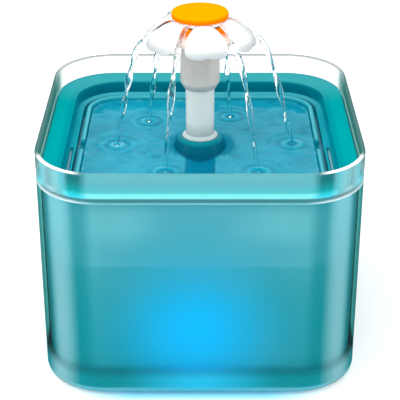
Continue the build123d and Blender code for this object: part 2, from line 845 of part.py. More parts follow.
with BuildPart() as led_bar:
    with BuildSketch(upright(light_back)):
        with Locations((0, light_middle)):
            Rectangle(light_width, light_height)
    extrude(amount=light_depth)
    fillet(led_bar.edges().filter_by(Axis.Y), light_wall)
    with BuildSketch(upright(light_back - light_wall)):
        with Locations((0, light_middle)):
            Rectangle(light_width - 2 * light_wall, light_height - 2 * light_wall)
    extrude(amount=light_depth - 2 * light_wall, mode=Mode.SUBTRACT)
    with BuildSketch(upright(light_front + light_wall)):
        for lens_x in lens_places:
            with Locations((lens_x, light_middle)):
                Circle(lens_radius - light_wall / 2)
    extrude(amount=light_wall, mode=Mode.SUBTRACT)
finish(led_bar, "led_bar")

with BuildPart() as led_board:
    with BuildSketch(upright(board_back)):
        with Locations((0, light_middle)):
            Rectangle(light_width - 3 * light_wall, light_height - 3 * light_wall)
    extrude(amount=board_thick)
finish(led_board, "led_board")

for lens_number, lens_x in enumerate(lens_places, 1):
    with BuildPart() as led_lens:
        with BuildSketch(upright(light_front)):
            with Locations((lens_x, light_middle)):
                Circle(lens_radius)
        extrude(amount=light_wall)
        fillet(led_lens.faces().sort_by(Axis.Y)[0].edges(), lens_round)
    finish(led_lens, f"led_lens_{lens_number}")

# ================= rotor =================

with BuildPart() as impeller_shaft:
    with BuildSketch(upright(bush_start - seat_gap)):
        with Locations((0, axis_z)):
            Circle(shaft_radius)
    extrude(amount=bush_start - seat_gap - pump_front + plate_thick / 2)
finish(impeller_shaft, "impeller_shaft")

with BuildPart() as rotor_magnet:
    with BuildSketch(upright(rotor_end)):
        with Locations((0, axis_z)):
            Circle(rotor_radius)
            Circle(shaft_radius + shaft_fit, mode=Mode.SUBTRACT)
    extrude(amount=rotor_end - rotor_start)
finish(rotor_magnet, "rotor_magnet")

disc_rear = rotor_start - seat_gap
disc_front = disc_rear - impeller_disc

with BuildPart() as impeller:
    with BuildSketch(upright(disc_rear)):
        with Locations((0, axis_z)):
            Circle(rotor_radius)
    extrude(amount=impeller_disc)
    with BuildSketch(upright(disc_front)):
        with Locations((0, axis_z)):
            Circle(impeller_hub)
            with PolarLocations(impeller_radius / 2, blade_count):
                Rectangle(impeller_radius, blade_thick)
            Circle(impeller_radius, mode=Mode.INTERSECT)
    extrude(amount=disc_front - blade_front)
    with BuildSketch(upright(disc_rear)):
        with Locations((0, axis_z)):
            Circle(shaft_radius + shaft_fit)
    extrude(amount=disc_rear - blade_front, mode=Mode.SUBTRACT)
finish(impeller, "impeller")

# ================= pump cover =================

cover_back = pump_front - seat_gap
cover_front = cover_back - cover_length
cover_base = pump_base + cover_rise
cover_height = pump_top - cover_base
cover_middle = cover_base + cover_height / 2
hollow_width = pump_width - 2 * cover_wall
hollow_height = cover_height - 2 * cover_wall
grille_z = cover_middle + slider_height / 4

with BuildPart() as pump_cover:
    with BuildSketch(upright(cover_back)):
        with Locations((0, cover_middle)):
            RectangleRounded(pump_width, cover_height, pump_corner)
    extrude(amount=cover_length)
    with BuildSketch(upright(cover_back)):
        with Locations((0, cover_middle)):
            RectangleRounded(hollow_width, hollow_height, pump_corner - cover_wall)
    extrude(amount=cover_length - cover_wall, mode=Mode.SUBTRACT)
    with BuildSketch(upright(cover_front + cover_wall)):
        with Locations((0, grille_z)):
            with GridLocations(grille_pitch, 1, grille_count, 1):
                SlotOverall(grille_height, grille_width, rotation=90)
    extrude(amount=cover_wall, mode=Mode.SUBTRACT)
finish(pump_cover, "pump_cover")

plate_width = hollow_width - 2 * join_gap
plate_height = hollow_height - 2 * join_gap
plate_corner = pump_corner - cover_wall - join_gap
plate_front = cover_back - plate_thick

with BuildPart() as intake_plate:
    with BuildSketch(upright(cover_back)):
        with Locations((0, cover_middle)):
            RectangleRounded(plate_width, plate_height, plate_corner)
        with Locations((0, axis_z)):
            Circle(intake_radius, mode=Mode.SUBTRACT)
            with PolarLocations(0, 3, start_angle=90):
                with Locations((intake_radius / 2 + bush_radius / 2, 0)):
                    Rectangle(intake_radius - bush_radius / 2, spoke_width)
            Circle(bush_radius)
            Circle(shaft_radius + shaft_fit, mode=Mode.SUBTRACT)
    extrude(amount=plate_thick)
finish(intake_plate, "intake_plate")

foam_back = plate_front - layer_gap
foam_front = cover_front + cover_wall + layer_gap

with BuildPart() as foam_prefilter:
    with BuildSketch(upright(foam_back)):
        with Locations((0, cover_middle)):
            RectangleRounded(plate_width, plate_height, plate_corner)
    extrude(amount=foam_back - foam_front)
finish(foam_prefilter, "foam_prefilter")

slider_back = cover_front - seat_gap
slider_middle_z = cover_base + slider_height / 2 + cover_wall / 2
slider_middle_x = -pump_width / 2 + slider_width / 2 + knob_width

with BuildPart() as flow_slider:
    with BuildSketch(upright(slider_back)):
        with Locations((slider_middle_x, slider_middle_z)):
            RectangleRounded(slider_width, slider_height, light_wall)
    extrude(amount=slider_thick)
    with BuildSketch(upright(slider_back - slider_thick)):
        with Locations((slider_middle_x, slider_middle_z)):
            Rectangle(knob_width, knob_height)
    extrude(amount=knob_depth)
finish(flow_slider, "flow_slider")
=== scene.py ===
import math

import bmesh
import bpy
import numpy as np
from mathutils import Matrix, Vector, noise


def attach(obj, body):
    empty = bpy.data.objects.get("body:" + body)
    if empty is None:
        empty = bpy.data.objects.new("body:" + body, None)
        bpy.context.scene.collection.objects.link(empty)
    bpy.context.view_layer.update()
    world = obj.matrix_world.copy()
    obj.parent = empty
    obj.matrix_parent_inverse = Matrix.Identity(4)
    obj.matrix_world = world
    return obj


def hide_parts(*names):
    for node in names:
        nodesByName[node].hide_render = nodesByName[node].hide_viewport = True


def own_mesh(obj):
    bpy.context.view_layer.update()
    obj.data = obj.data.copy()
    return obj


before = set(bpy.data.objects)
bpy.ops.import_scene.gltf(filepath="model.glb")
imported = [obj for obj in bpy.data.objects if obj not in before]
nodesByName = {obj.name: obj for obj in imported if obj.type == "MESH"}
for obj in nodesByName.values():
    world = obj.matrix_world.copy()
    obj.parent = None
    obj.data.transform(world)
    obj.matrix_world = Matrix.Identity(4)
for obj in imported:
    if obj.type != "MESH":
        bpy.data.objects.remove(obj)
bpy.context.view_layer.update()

scene = bpy.context.scene
scene.view_settings.view_transform = "Standard"
print("frame loaded:", len(nodesByName), "nodes")


# shader helpers

def linear(red, green, blue):
    # screen colour, 0 to 255, as Blender's linear colour
    parts = []
    for value in (red, green, blue):
        share = value / 255
        parts.append(share / 12.92 if share <= 0.04045 else ((share + 0.055) / 1.055) ** 2.4)
    return (*parts, 1.0)


def add(tree, kind, inputs=None, **settings):
    # one node, with its settings and its inputs: a value, or another node's output
    made = tree.nodes.new(kind)
    for key, value in settings.items():
        setattr(made, key, value)
    for key, value in (inputs or {}).items():
        if isinstance(value, bpy.types.NodeSocket):
            tree.links.new(value, made.inputs[key])
        else:
            made.inputs[key].default_value = value
    return made


def newMaterial(name):
    # a material and its tree, with the point's own place in metres, and its x, y and z
    material = bpy.data.materials.new(name)
    material.use_nodes = True
    tree = material.node_tree
    tree.nodes.clear()
    coordinates = add(tree, "ShaderNodeTexCoord").outputs["Object"]
    parts = add(tree, "ShaderNodeSeparateXYZ", {"Vector": coordinates}).outputs
    return material, tree, coordinates, parts["X"], parts["Y"], parts["Z"]


def finished(material, shader):
    # the material, with its surface shader in place
    add(material.node_tree, "ShaderNodeOutputMaterial", {"Surface": shader})
    return material


def ramp(tree, factor, stops):
    # colour ramp from stops of (position, red, green, blue), in screen colours
    made = add(tree, "ShaderNodeValToRGB", {"Fac": factor})
    elements = made.color_ramp.elements
    while len(elements) < len(stops):
        elements.new(0.5)
    for element, (position, *colour) in zip(elements, stops):
        element.position = position
        element.color = linear(*colour)
    return made.outputs["Color"]


def mapRange(tree, value, fromLow, fromHigh, toLow=0.0, toHigh=1.0, smooth=False):
    return add(tree, "ShaderNodeMapRange", {
        "Value": value, "From Min": fromLow, "From Max": fromHigh, "To Min": toLow, "To Max": toHigh,
    }, interpolation_type="SMOOTHSTEP" if smooth else "LINEAR").outputs["Result"]


def mixColour(tree, factor, first, second, blend="MIX"):
    # a colour is an output, a linear colour of four parts, or a screen colour of three
    inputs = {0: factor}
    for index, colour in ((6, first), (7, second)):
        isScreen = isinstance(colour, tuple) and len(colour) == 3
        inputs[index] = linear(*colour) if isScreen else colour
    return add(tree, "ShaderNodeMix", inputs, data_type="RGBA", blend_type=blend).outputs[2]


def mixShader(tree, factor, first, second):
    return add(tree, "ShaderNodeMixShader", {0: factor, 1: first, 2: second}).outputs[0]


def math2(tree, operation, first, second=0.0):
    return add(tree, "ShaderNodeMath", {0: first, 1: second}, operation=operation).outputs[0]


def times(tree, first, *others):
    for other in others:
        first = math2(tree, "MULTIPLY", first, other)
    return first


def rest(tree, share):
    return math2(tree, "SUBTRACT", 1.0, share)


def between(tree, value, rise, fall):
    # 1 between two smooth changes, 0 outside them
    risen = mapRange(tree, value, *rise, smooth=True)
    return times(tree, risen, mapRange(tree, value, *fall, 1.0, 0.0, True))


def fromAxis(tree, x, y):
    # distance of (x, y) from the axis
    flat = add(tree, "ShaderNodeCombineXYZ", {"X": x, "Y": y}).outputs[0]
    return add(tree, "ShaderNodeVectorMath", {0: flat}, operation="LENGTH").outputs["Value"]


def near(tree, coordinates, spot, reach, squash=(1, 1, 1)):
    # 1 at a point, falling to 0 at its reach
    apart = add(tree, "ShaderNodeVectorMath", {0: coordinates, 1: spot}, operation="SUBTRACT").outputs[0]
    apart = add(tree, "ShaderNodeVectorMath", {0: apart, 1: squash}, operation="MULTIPLY").outputs[0]
    length = add(tree, "ShaderNodeVectorMath", {0: apart}, operation="LENGTH").outputs["Value"]
    return mapRange(tree, length, 0.0, reach, 1.0, 0.0, True)


def facingOf(tree):
    # 0 where a surface faces the ray, 1 where it is seen edge on
    return add(tree, "ShaderNodeLayerWeight", {"Blend": 0.5}).outputs["Facing"]


def seenRays(tree):
    # 1 for rays that show things, directly or by gloss or glass, and 0 for rays that only light them
    rays = add(tree, "ShaderNodeLightPath").outputs
    seen = math2(tree, "MAXIMUM", rays["Is Camera Ray"], rays["Is Glossy Ray"])
    return math2(tree, "MAXIMUM", seen, rays["Is Transmission Ray"])


def grain(tree, coordinates, scale, detail=3.0, roughness=0.55):
    return add(tree, "ShaderNodeTexNoise", {
        "Vector": coordinates, "Scale": scale, "Detail": detail, "Roughness": roughness,
    }).outputs["Fac"]


def cloudOf(tree, coordinates, scale, most=1.0):
    # soft patches, up to a share
    return mapRange(tree, grain(tree, coordinates, scale), 0.35, 0.65, 0.0, most)


def bumpOf(tree, height, strength, distance):
    return add(tree, "ShaderNodeBump", {
        "Height": height, "Strength": strength, "Distance": distance,
    }).outputs["Normal"]


def paintOf(tree, colour, roughness, more=None):
    # a principled surface; its roughness is a number, or a grain and the range it spans
    if isinstance(roughness, tuple):
        fine, low, high = roughness
        roughness = mapRange(tree, fine, 0.3, 0.7, low, high)
    return add(tree, "ShaderNodeBsdfPrincipled", {
        "Base Color": colour, "Roughness": roughness, **(more or {}),
    }).outputs["BSDF"]


def moulded(tree, colour, fine, rough, bump, more=None):
    # paint whose gloss and surface follow one fine grain
    normal = bumpOf(tree, fine, bump, 0.0002)
    return paintOf(tree, colour, (fine, *rough), {"Normal": normal, **(more or {})})


def plastic(name, colour, shade, rough, bump, grainScale=900, cloudScale=25, metallic=0.0):
    # plastic, rubber, fibre or metal: clouded colour, uneven gloss and a fine surface grain
    material, tree, coordinates, *_ = newMaterial(name)
    body = mixColour(tree, cloudOf(tree, coordinates, cloudScale), colour, shade)
    fine = grain(tree, coordinates, grainScale)
    return finished(material, moulded(tree, body, fine, rough, bump, {"Metallic": metallic}))


def dress(material, *names):
    # gives CAD nodes their material
    for name in names:
        holder = nodesByName[name]
        if not holder.material_slots:
            holder.data.materials.append(material)
        for slot in holder.material_slots:
            slot.material = material


def dressPlastic(finishes):
    for names, *finish in finishes:
        dress(plastic(*finish), *names)


# mesh helpers

def linked(name, data):
    made = bpy.data.objects.new(name, data)
    scene.collection.objects.link(made)
    return made


def shadeSmooth(mesh):
    mesh.polygons.foreach_set("use_smooth", [True] * len(mesh.polygons))


def mend(mesh):
    # joins points that coincide, and turns all faces outwards
    built = bmesh.new()
    built.from_mesh(mesh)
    bmesh.ops.remove_doubles(built, verts=built.verts, dist=1e-6)
    bmesh.ops.recalc_face_normals(built, faces=built.faces)
    built.to_mesh(mesh)
    built.free()


def meshObject(name, vertices, faces):
    mesh = bpy.data.meshes.new(name)
    mesh.from_pydata(vertices, [], faces)
    mesh.validate()
    mend(mesh)
    shadeSmooth(mesh)
    return linked(name, mesh)


def newTree(name, inputs):
    # a geometry tree with named inputs, and the identifier of each
    tree = bpy.data.node_groups.new(name, "GeometryNodeTree")
    tree.interface.new_socket("Geometry", in_out="OUTPUT", socket_type="NodeSocketGeometry")
    tree.interface.new_socket("Geometry", in_out="INPUT", socket_type="NodeSocketGeometry")
    keys = {}
    for title, kind in inputs.items():
        socket = tree.interface.new_socket(title, in_out="INPUT", socket_type="NodeSocket" + kind)
        keys[title] = socket.identifier
    return tree, add(tree, "NodeGroupInput").outputs, keys


def closeTree(tree, geometry, material):
    # every tree ends in plain geometry with its material
    real = add(tree, "GeometryNodeRealizeInstances", {"Geometry": geometry}).outputs[0]
    smooth = add(tree, "GeometryNodeSetShadeSmooth", {"Geometry": real}).outputs[0]
    painted = add(tree, "GeometryNodeSetMaterial", {"Geometry": smooth, "Material": material}).outputs[0]
    add(tree, "NodeGroupOutput", {0: painted})


def grow(name, tree, keys, values, base=None):
    # runs a geometry tree and keeps its result as a plain mesh
    holder = linked(name + "Source", base or bpy.data.meshes.new(name + "Source"))
    modifier = holder.modifiers.new("grow", "NODES")
    modifier.node_group = tree
    for title, value in values.items():
        modifier[keys[title]] = value
    bpy.context.view_layer.update()
    graph = bpy.context.evaluated_depsgraph_get()
    mesh = bpy.data.meshes.new_from_object(holder.evaluated_get(graph), depsgraph=graph)
    bpy.data.objects.remove(holder)
    mesh.name = name
    return linked(name, mesh)


def joinInto(name, parts):
    # several objects as one mesh, all at the origin, with the first material found on them
    built = bmesh.new()
    material = next(made for part in parts for made in part.data.materials if made)
    for part in parts:
        built.from_mesh(part.data)
        bpy.data.objects.remove(part)
    mesh = bpy.data.meshes.new(name)
    bmesh.ops.recalc_face_normals(built, faces=built.faces)
    built.to_mesh(mesh)
    built.free()
    mesh.materials.append(material)
    mesh.polygons.foreach_set("material_index", [0] * len(mesh.polygons))
    shadeSmooth(mesh)
    return linked(name, mesh)


# camera, light and floor

cameraValues = {"place": (0, -0.683, 0.426), "pitch": 26.91, "lens": 114.15, "sensor": 36.0}

cameraData = bpy.data.cameras.new("camera")
cameraData.lens = cameraValues["lens"]
cameraData.sensor_width = cameraValues["sensor"]
camera = linked("camera", cameraData)
camera.location = cameraValues["place"]
camera.rotation_euler = (math.radians(90 - cameraValues["pitch"]), 0, 0)
scene.camera = camera

lightValues = {
    "worldFill": 0.62, "worldShown": 1.0,
    # place, aim, width, height, watts
    "lamps": {
        "top": ((-0.35, -0.45, 1.25), (0, 0, 0.08), 1.1, 1.1, 7.0),
        "left": ((-0.95, -0.3, 0.3), (0, 0, 0.08), 0.3, 0.8, 3.2),
        "right": ((0.95, -0.3, 0.3), (0, 0, 0.08), 0.3, 0.8, 3.2),
        "front": ((0.1, -1.6, 0.55), (0, 0, 0.08), 1.2, 0.8, 5.0),
        "back": ((0.2, 1.3, 0.9), (0, 0, 0.1), 1.0, 0.6, 3.5),
    },
}


def backdrop(tree, strength):
    return add(tree, "ShaderNodeBackground", {"Color": (1, 1, 1, 1), "Strength": strength}).outputs[0]


world = bpy.data.worlds.new("studio")
scene.world = world
world.use_nodes = True
worldTree = world.node_tree
worldTree.nodes.clear()
sky = mixShader(
    worldTree, seenRays(worldTree),
    backdrop(worldTree, lightValues["worldFill"]), backdrop(worldTree, lightValues["worldShown"]),
)
add(worldTree, "ShaderNodeOutputWorld", {"Surface": sky})

for lampName, (spot, aim, width, height, watts) in lightValues["lamps"].items():
    lampData = bpy.data.lights.new(lampName, "AREA")
    lampData.shape = "RECTANGLE"
    lampData.size, lampData.size_y, lampData.energy = width, height, watts
    lamp = linked(lampName + "Light", lampData)
    lamp.location = spot
    lamp.rotation_euler = (Vector(aim) - Vector(spot)).to_track_quat("-Z", "Y").to_euler()

# here and below, most pairs say where a change starts and ends, in metres or as a share
floorValues = {
    "size": 12, "shine": 0.30, "speckle": 6,
    "white": ((0.90, 0.905, 0.91, 1), (0.92, 0.92, 0.92, 1)),
    # light cast on the floor through the front wall: fading forwards, to the sides and under the body
    "castFront": (-0.0960, -0.0900), "castSides": (0.034, 0.078), "castUnder": (-0.06, -0.05),
    "castColour": (139, 215, 243),
}


def floorMaterial():
    # the floor shows as white, and keeps the object's shadow
    material, tree, coordinates, x, y, _ = newMaterial("floorWhite")
    v = floorValues
    cast = times(
        tree, mapRange(tree, math2(tree, "ABSOLUTE", x), *v["castSides"], 1.0, 0.0, True),
        mapRange(tree, y, *v["castFront"]), mapRange(tree, y, *v["castUnder"], 1.0, 0.0),
    )
    white = mixColour(tree, grain(tree, coordinates, v["speckle"]), *v["white"])
    paint = add(tree, "ShaderNodeBsdfDiffuse", {"Color": mixColour(tree, cast, white, v["castColour"])})
    shine = add(tree, "ShaderNodeEmission", {
        "Color": mixColour(tree, cast, (1, 1, 1, 1), v["castColour"]),
        "Strength": times(tree, seenRays(tree), v["shine"]),
    })
    both = add(tree, "ShaderNodeAddShader", {0: paint.outputs[0], 1: shine.outputs[0]})
    return finished(material, both.outputs[0])


bpy.ops.mesh.primitive_plane_add(size=floorValues["size"], location=(0, 0, 0))
floor = bpy.context.object
floor.name = "floor"
floor.data.materials.append(floorMaterial())
print("studio ready")


# clear shell and splash ring

clearValues = {
    "cornerMiddle": 0.054,  # from the axis to the middle of a rounded corner
    "edgeEnd": 0.95, "faceGloss": 0.0015, "edgeGloss": 0.022, "glossPower": 3.0, "rough": 0.04,
    "skinScale": 45, "skinBump": 0.03, "skinDepth": 0.0005,
}


def pastMiddle(tree, value):
    # how far a point lies beyond the middle of a rounded corner, along x or y
    beyond = math2(tree, "SUBTRACT", math2(tree, "ABSOLUTE", value), clearValues["cornerMiddle"])
    return math2(tree, "MAXIMUM", beyond, 0.0)


def cornerShare(tree, x, y):
    # 0 on the four flat walls, rising to 1 half way round each rounded corner
    turn = math2(tree, "ARCTAN2", pastMiddle(tree, x), pastMiddle(tree, y))
    back = math2(tree, "SUBTRACT", math.pi / 2, turn)
    return math2(tree, "DIVIDE", math2(tree, "MINIMUM", turn, back), math.pi / 4)


def outward(tree, x, y):
    # half width of the rounded square that passes through the point
    apart = fromAxis(tree, pastMiddle(tree, x), pastMiddle(tree, y))
    return math2(tree, "ADD", apart, clearValues["cornerMiddle"])


def clearShader(tree, coordinates, faceTint, edgeTint, edgeStart=0.55):
    # thin clear wall: tinted more the flatter it is looked along, with a polished skin
    v = clearValues
    facing = facingOf(tree)
    tint = mixColour(tree, mapRange(tree, facing, edgeStart, v["edgeEnd"], smooth=True), faceTint, edgeTint)
    through = add(tree, "ShaderNodeBsdfTransparent", {"Color": tint}).outputs[0]
    gloss = add(tree, "ShaderNodeBsdfGlossy", {
        "Color": (1, 1, 1, 1), "Roughness": v["rough"],
        "Normal": bumpOf(tree, grain(tree, coordinates, v["skinScale"]), v["skinBump"], v["skinDepth"]),
    }).outputs[0]
    flat = math2(tree, "POWER", facing, v["glossPower"])
    return mixShader(tree, mapRange(tree, flat, 0.0, 1.0, v["faceGloss"], v["edgeGloss"]), through, gloss)


def clearPlastic(name, faceTint, edgeTint):
    material, tree, coordinates, *_ = newMaterial(name)
    return finished(material, clearShader(tree, coordinates, faceTint, edgeTint))


shellValues = {
    "faceTint": (0.99, 0.998, 0.998, 1), "edgeTint": (58, 170, 168), "edgeStart": 0.5,
    # teal in the base: above and below a seam, at the foot, with a painted glow in the middle, a painted
    # reflection in the corners, and painted shade where it turns away
    "upperSide": (24, 140, 150), "upperMiddle": (44, 188, 228),
    "lowerSide": (96, 186, 202), "lowerMiddle": (74, 192, 218), "middleReach": 0.05,
    "foot": (130, 218, 232), "footShare": 0.7, "corner": (130, 192, 200),
    "turned": (44, 116, 118), "turnedShare": 0.8, "turnedFrom": (0.6, 0.95),
    "seam": (0.0052, 0.0062), "footTop": (0.0030, 0.0036), "cornerFrom": (0.5, 0.9),
    "baseTop": (0.0105, 0.0215), "baseShare": 0.94, "baseInCorner": 0.85, "baseRough": (0.2, 0.3),
    # the rim's painted highlight
    "rim": (0.1221, 0.1224), "rimHighlightShare": 0.85, "rimFrom": (0.05, 0.5),
    "rimHighlightFlat": (124, 206, 214), "rimHighlightTurned": (236, 252, 254), "rimRough": 0.2,
}


def shellMaterial():
    material, tree, coordinates, x, y, z = newMaterial("shellClear")
    v = shellValues
    clear = clearShader(tree, coordinates, v["faceTint"], v["edgeTint"], v["edgeStart"])
    # the thick base carries the teal above it
    share = cornerShare(tree, x, y)
    # painted reflection: a pale strip round each corner
    reflectionStrip = mapRange(tree, share, *v["cornerFrom"])
    # painted glow: brighter and bluer in the middle
    middle = mapRange(tree, math2(tree, "ABSOLUTE", x), 0.0, v["middleReach"], 1.0, 0.0, True)
    upper = mixColour(tree, middle, v["upperSide"], v["upperMiddle"])
    lower = mixColour(tree, middle, v["lowerSide"], v["lowerMiddle"])
    base = mixColour(tree, mapRange(tree, z, *v["seam"], 1.0, 0.0), upper, lower)
    base = mixColour(tree, mapRange(tree, z, *v["footTop"], v["footShare"], 0.0), base, v["foot"])
    base = mixColour(tree, reflectionStrip, base, v["corner"])
    # painted shade where the surface turns away
    turned = mapRange(tree, facingOf(tree), *v["turnedFrom"], 0.0, v["turnedShare"])
    base = mixColour(tree, turned, base, v["turned"])
    fine = grain(tree, coordinates, 300)
    thick = paintOf(tree, base, (fine, *v["baseRough"]), {"Specular IOR Level": 0.0})
    low = mapRange(tree, z, *v["baseTop"], v["baseShare"], 0.0, True)
    low = times(tree, low, mapRange(tree, reflectionStrip, 0.0, 1.0, 1.0, v["baseInCorner"]))
    clear = mixShader(tree, low, clear, thick)
    # painted highlight: the rim catches the light
    rim = mapRange(tree, z, *v["rim"], 0.0, v["rimHighlightShare"])
    light = mixColour(tree, mapRange(tree, share, *v["rimFrom"]), v["rimHighlightFlat"], v["rimHighlightTurned"])
    light = paintOf(tree, light, v["rimRough"], {"Specular IOR Level": 0.1})
    return finished(material, mixShader(tree, rim, clear, light))


ringValues = {
    "faceTint": (0.985, 0.995, 0.995, 1), "edgeTint": (96, 156, 152), "edgeStart": 0.5,
    # rimTint is a painted grey line along the rim
    "rimTint": (184, 190, 192), "rim": (0.1387, 0.1391), "heights": (0.1254, 0.1396),
    # the bright band near its foot is the lip seen through, with a painted highlight
    "mist": [
        (0.0, 96, 176, 184), (0.03, 128, 232, 236), (0.17, 128, 236, 240), (0.27, 80, 190, 196),
        (0.6, 94, 178, 190), (0.93, 102, 182, 190), (0.95, 96, 176, 186),
    ],
    # painted shade: deeper teal beside the corners, then a painted reflection: a pale strip round them
    "shadeBand": [
        (0.0, 60, 214, 236), (0.17, 30, 196, 206), (0.3, 8, 156, 160),
        (0.55, 10, 132, 136), (0.75, 14, 112, 118), (1.0, 24, 118, 122),
    ],
    "bandFrom": (0.14, 0.38), "bandTo": (0.53, 0.72),
    "corner": [(0.72, 92, 186, 198), (0.95, 164, 220, 228)],
    "cornerFrom": (0.56, 0.76), "mistRough": (0.2, 0.3),
    "front": (-0.056, -0.074), "frontShare": 0.93, "lip": (0.1280, 0.1290), "lipShare": 0.7,
    "thin": (0.7, 1.0), "thinShare": 0.35,
    # a painted highlight where the rim turns the two front corners
    "lineTurn": (0.24, 0.6), "lineFront": (-0.058, -0.066), "lineLow": (0.1388, 0.1391),
    "lineInner": (0.0860, 0.0864), "highlightShare": 0.95,
    "line": (252, 255, 255), "lineRough": 0.15, "highlightGlow": 0.25,
}


def ringMaterial():
    # clear at the back and sides; the front wall is misted and carries the teal behind it
    material, tree, coordinates, x, y, z = newMaterial("ringClear")
    v = ringValues
    # painted shade: the rim is seen edge on, so a thin grey line is painted along it
    tint = mixColour(tree, mapRange(tree, z, *v["rim"]), v["faceTint"], v["rimTint"])
    clear = clearShader(tree, coordinates, tint, v["edgeTint"], v["edgeStart"])
    share = cornerShare(tree, x, y)
    height = mapRange(tree, z, *v["heights"])
    # painted shade beside the corners, and a painted reflection strip round them
    inBand = between(tree, share, v["bandFrom"], v["bandTo"])
    body = mixColour(tree, inBand, ramp(tree, height, v["mist"]), ramp(tree, height, v["shadeBand"]))
    pale = mapRange(tree, share, *v["cornerFrom"], smooth=True)
    body = mixColour(tree, pale, body, ramp(tree, share, v["corner"]))
    fine = grain(tree, coordinates, 300)
    fog = paintOf(tree, body, (fine, *v["mistRough"]), {"Specular IOR Level": 0.1})
    front = mapRange(tree, y, *v["front"], 0.0, v["frontShare"], True)
    # less mist round the corners, but the bright lip, partly a painted highlight, goes on
    lip = times(tree, mapRange(tree, z, *v["lip"], 1.0, 0.0), v["lipShare"])
    thin = mapRange(tree, share, *v["thin"], 1.0, v["thinShare"], True)
    amount = times(tree, front, math2(tree, "MAXIMUM", thin, lip))
    misted = mixShader(tree, amount, clear, fog)
    # painted highlight, faintly glowing: a bright edge where the rim turns the two front corners
    bright = times(
        tree, mapRange(tree, share, *v["lineTurn"], smooth=True), mapRange(tree, y, *v["lineFront"]),
        mapRange(tree, z, *v["lineLow"], 0.0, v["highlightShare"]),
        mapRange(tree, outward(tree, x, y), *v["lineInner"]),
    )
    line = paintOf(tree, linear(*v["line"]), v["lineRough"], {
        "Emission Color": (1, 1, 1, 1), "Emission Strength": v["highlightGlow"],
    })
    return finished(material, mixShader(tree, bright, misted, line))


dress(shellMaterial(), "outer_shell")
dress(ringMaterial(), "splash_ring")


# reservoir

reservoirValues = {
    "height": 0.125, "waterLine": 0.0826, "lineHalf": 0.003,
    "below": [(0.04, 18, 136, 148), (0.30, 34, 148, 160), (0.52, 54, 156, 166)],
    "atLine": ((62, 158, 171), (84, 173, 187)),
    "above": [(0.80, 86, 172, 186), (0.98, 84, 172, 186)],
    "blotches": ((-0.044, -0.087, 0.108), (0.044, -0.087, 0.108)),
    "blotchReach": 0.026, "blotchSquash": (0.8, 1, 1.4), "blotchShare": 0.75, "blotch": (112, 196, 206),
    "clouds": (0.35, 0.7), "cloudShare": 0.12, "cloud": (150, 215, 224),
    # painted shade towards the sides and beside the corners
    "sides": (0.018, 0.056), "sideShare": 0.55, "sideHeights": (0.05, 0.09), "sideAbove": 0.25,
    "side": (36, 146, 152),
    "bandFrom": (0.08, 0.42), "bandTo": (0.60, 0.80), "bandHeights": (0.04, 0.11),
    "bandShares": (0.97, 0.62), "shadeBand": (10, 132, 140),
    # painted reflection strip round each corner
    "stripFrom": (0.54, 0.90), "stripShare": 0.95,
    "stripLow": [(0.1, 120, 180, 188), (0.5, 120, 178, 187)], "stripAtLine": (116, 180, 191),
    "stripTop": (0.97, 122, 194, 208),
    "wideReach": 0.080, "wideSquash": (0.95, 1, 0.8), "wideShare": 0.85, "wide": (32, 165, 198),
    "glowMiddle": (-0.002, -0.087, 0.041), "glowReach": 0.076, "glowPower": 2.3, "glow": (16, 186, 248),
    "glowStrength": 0.09, "glowLight": (10, 150, 255),
    "lip": (0.1226, 0.1230), "lipUpper": (0.1242, 0.1247), "lipShades": ((82, 148, 156), (124, 186, 190)),
    "lipCorner": (128, 150, 158), "footShare": 0.9, "rough": (0.3, 0.42),
}


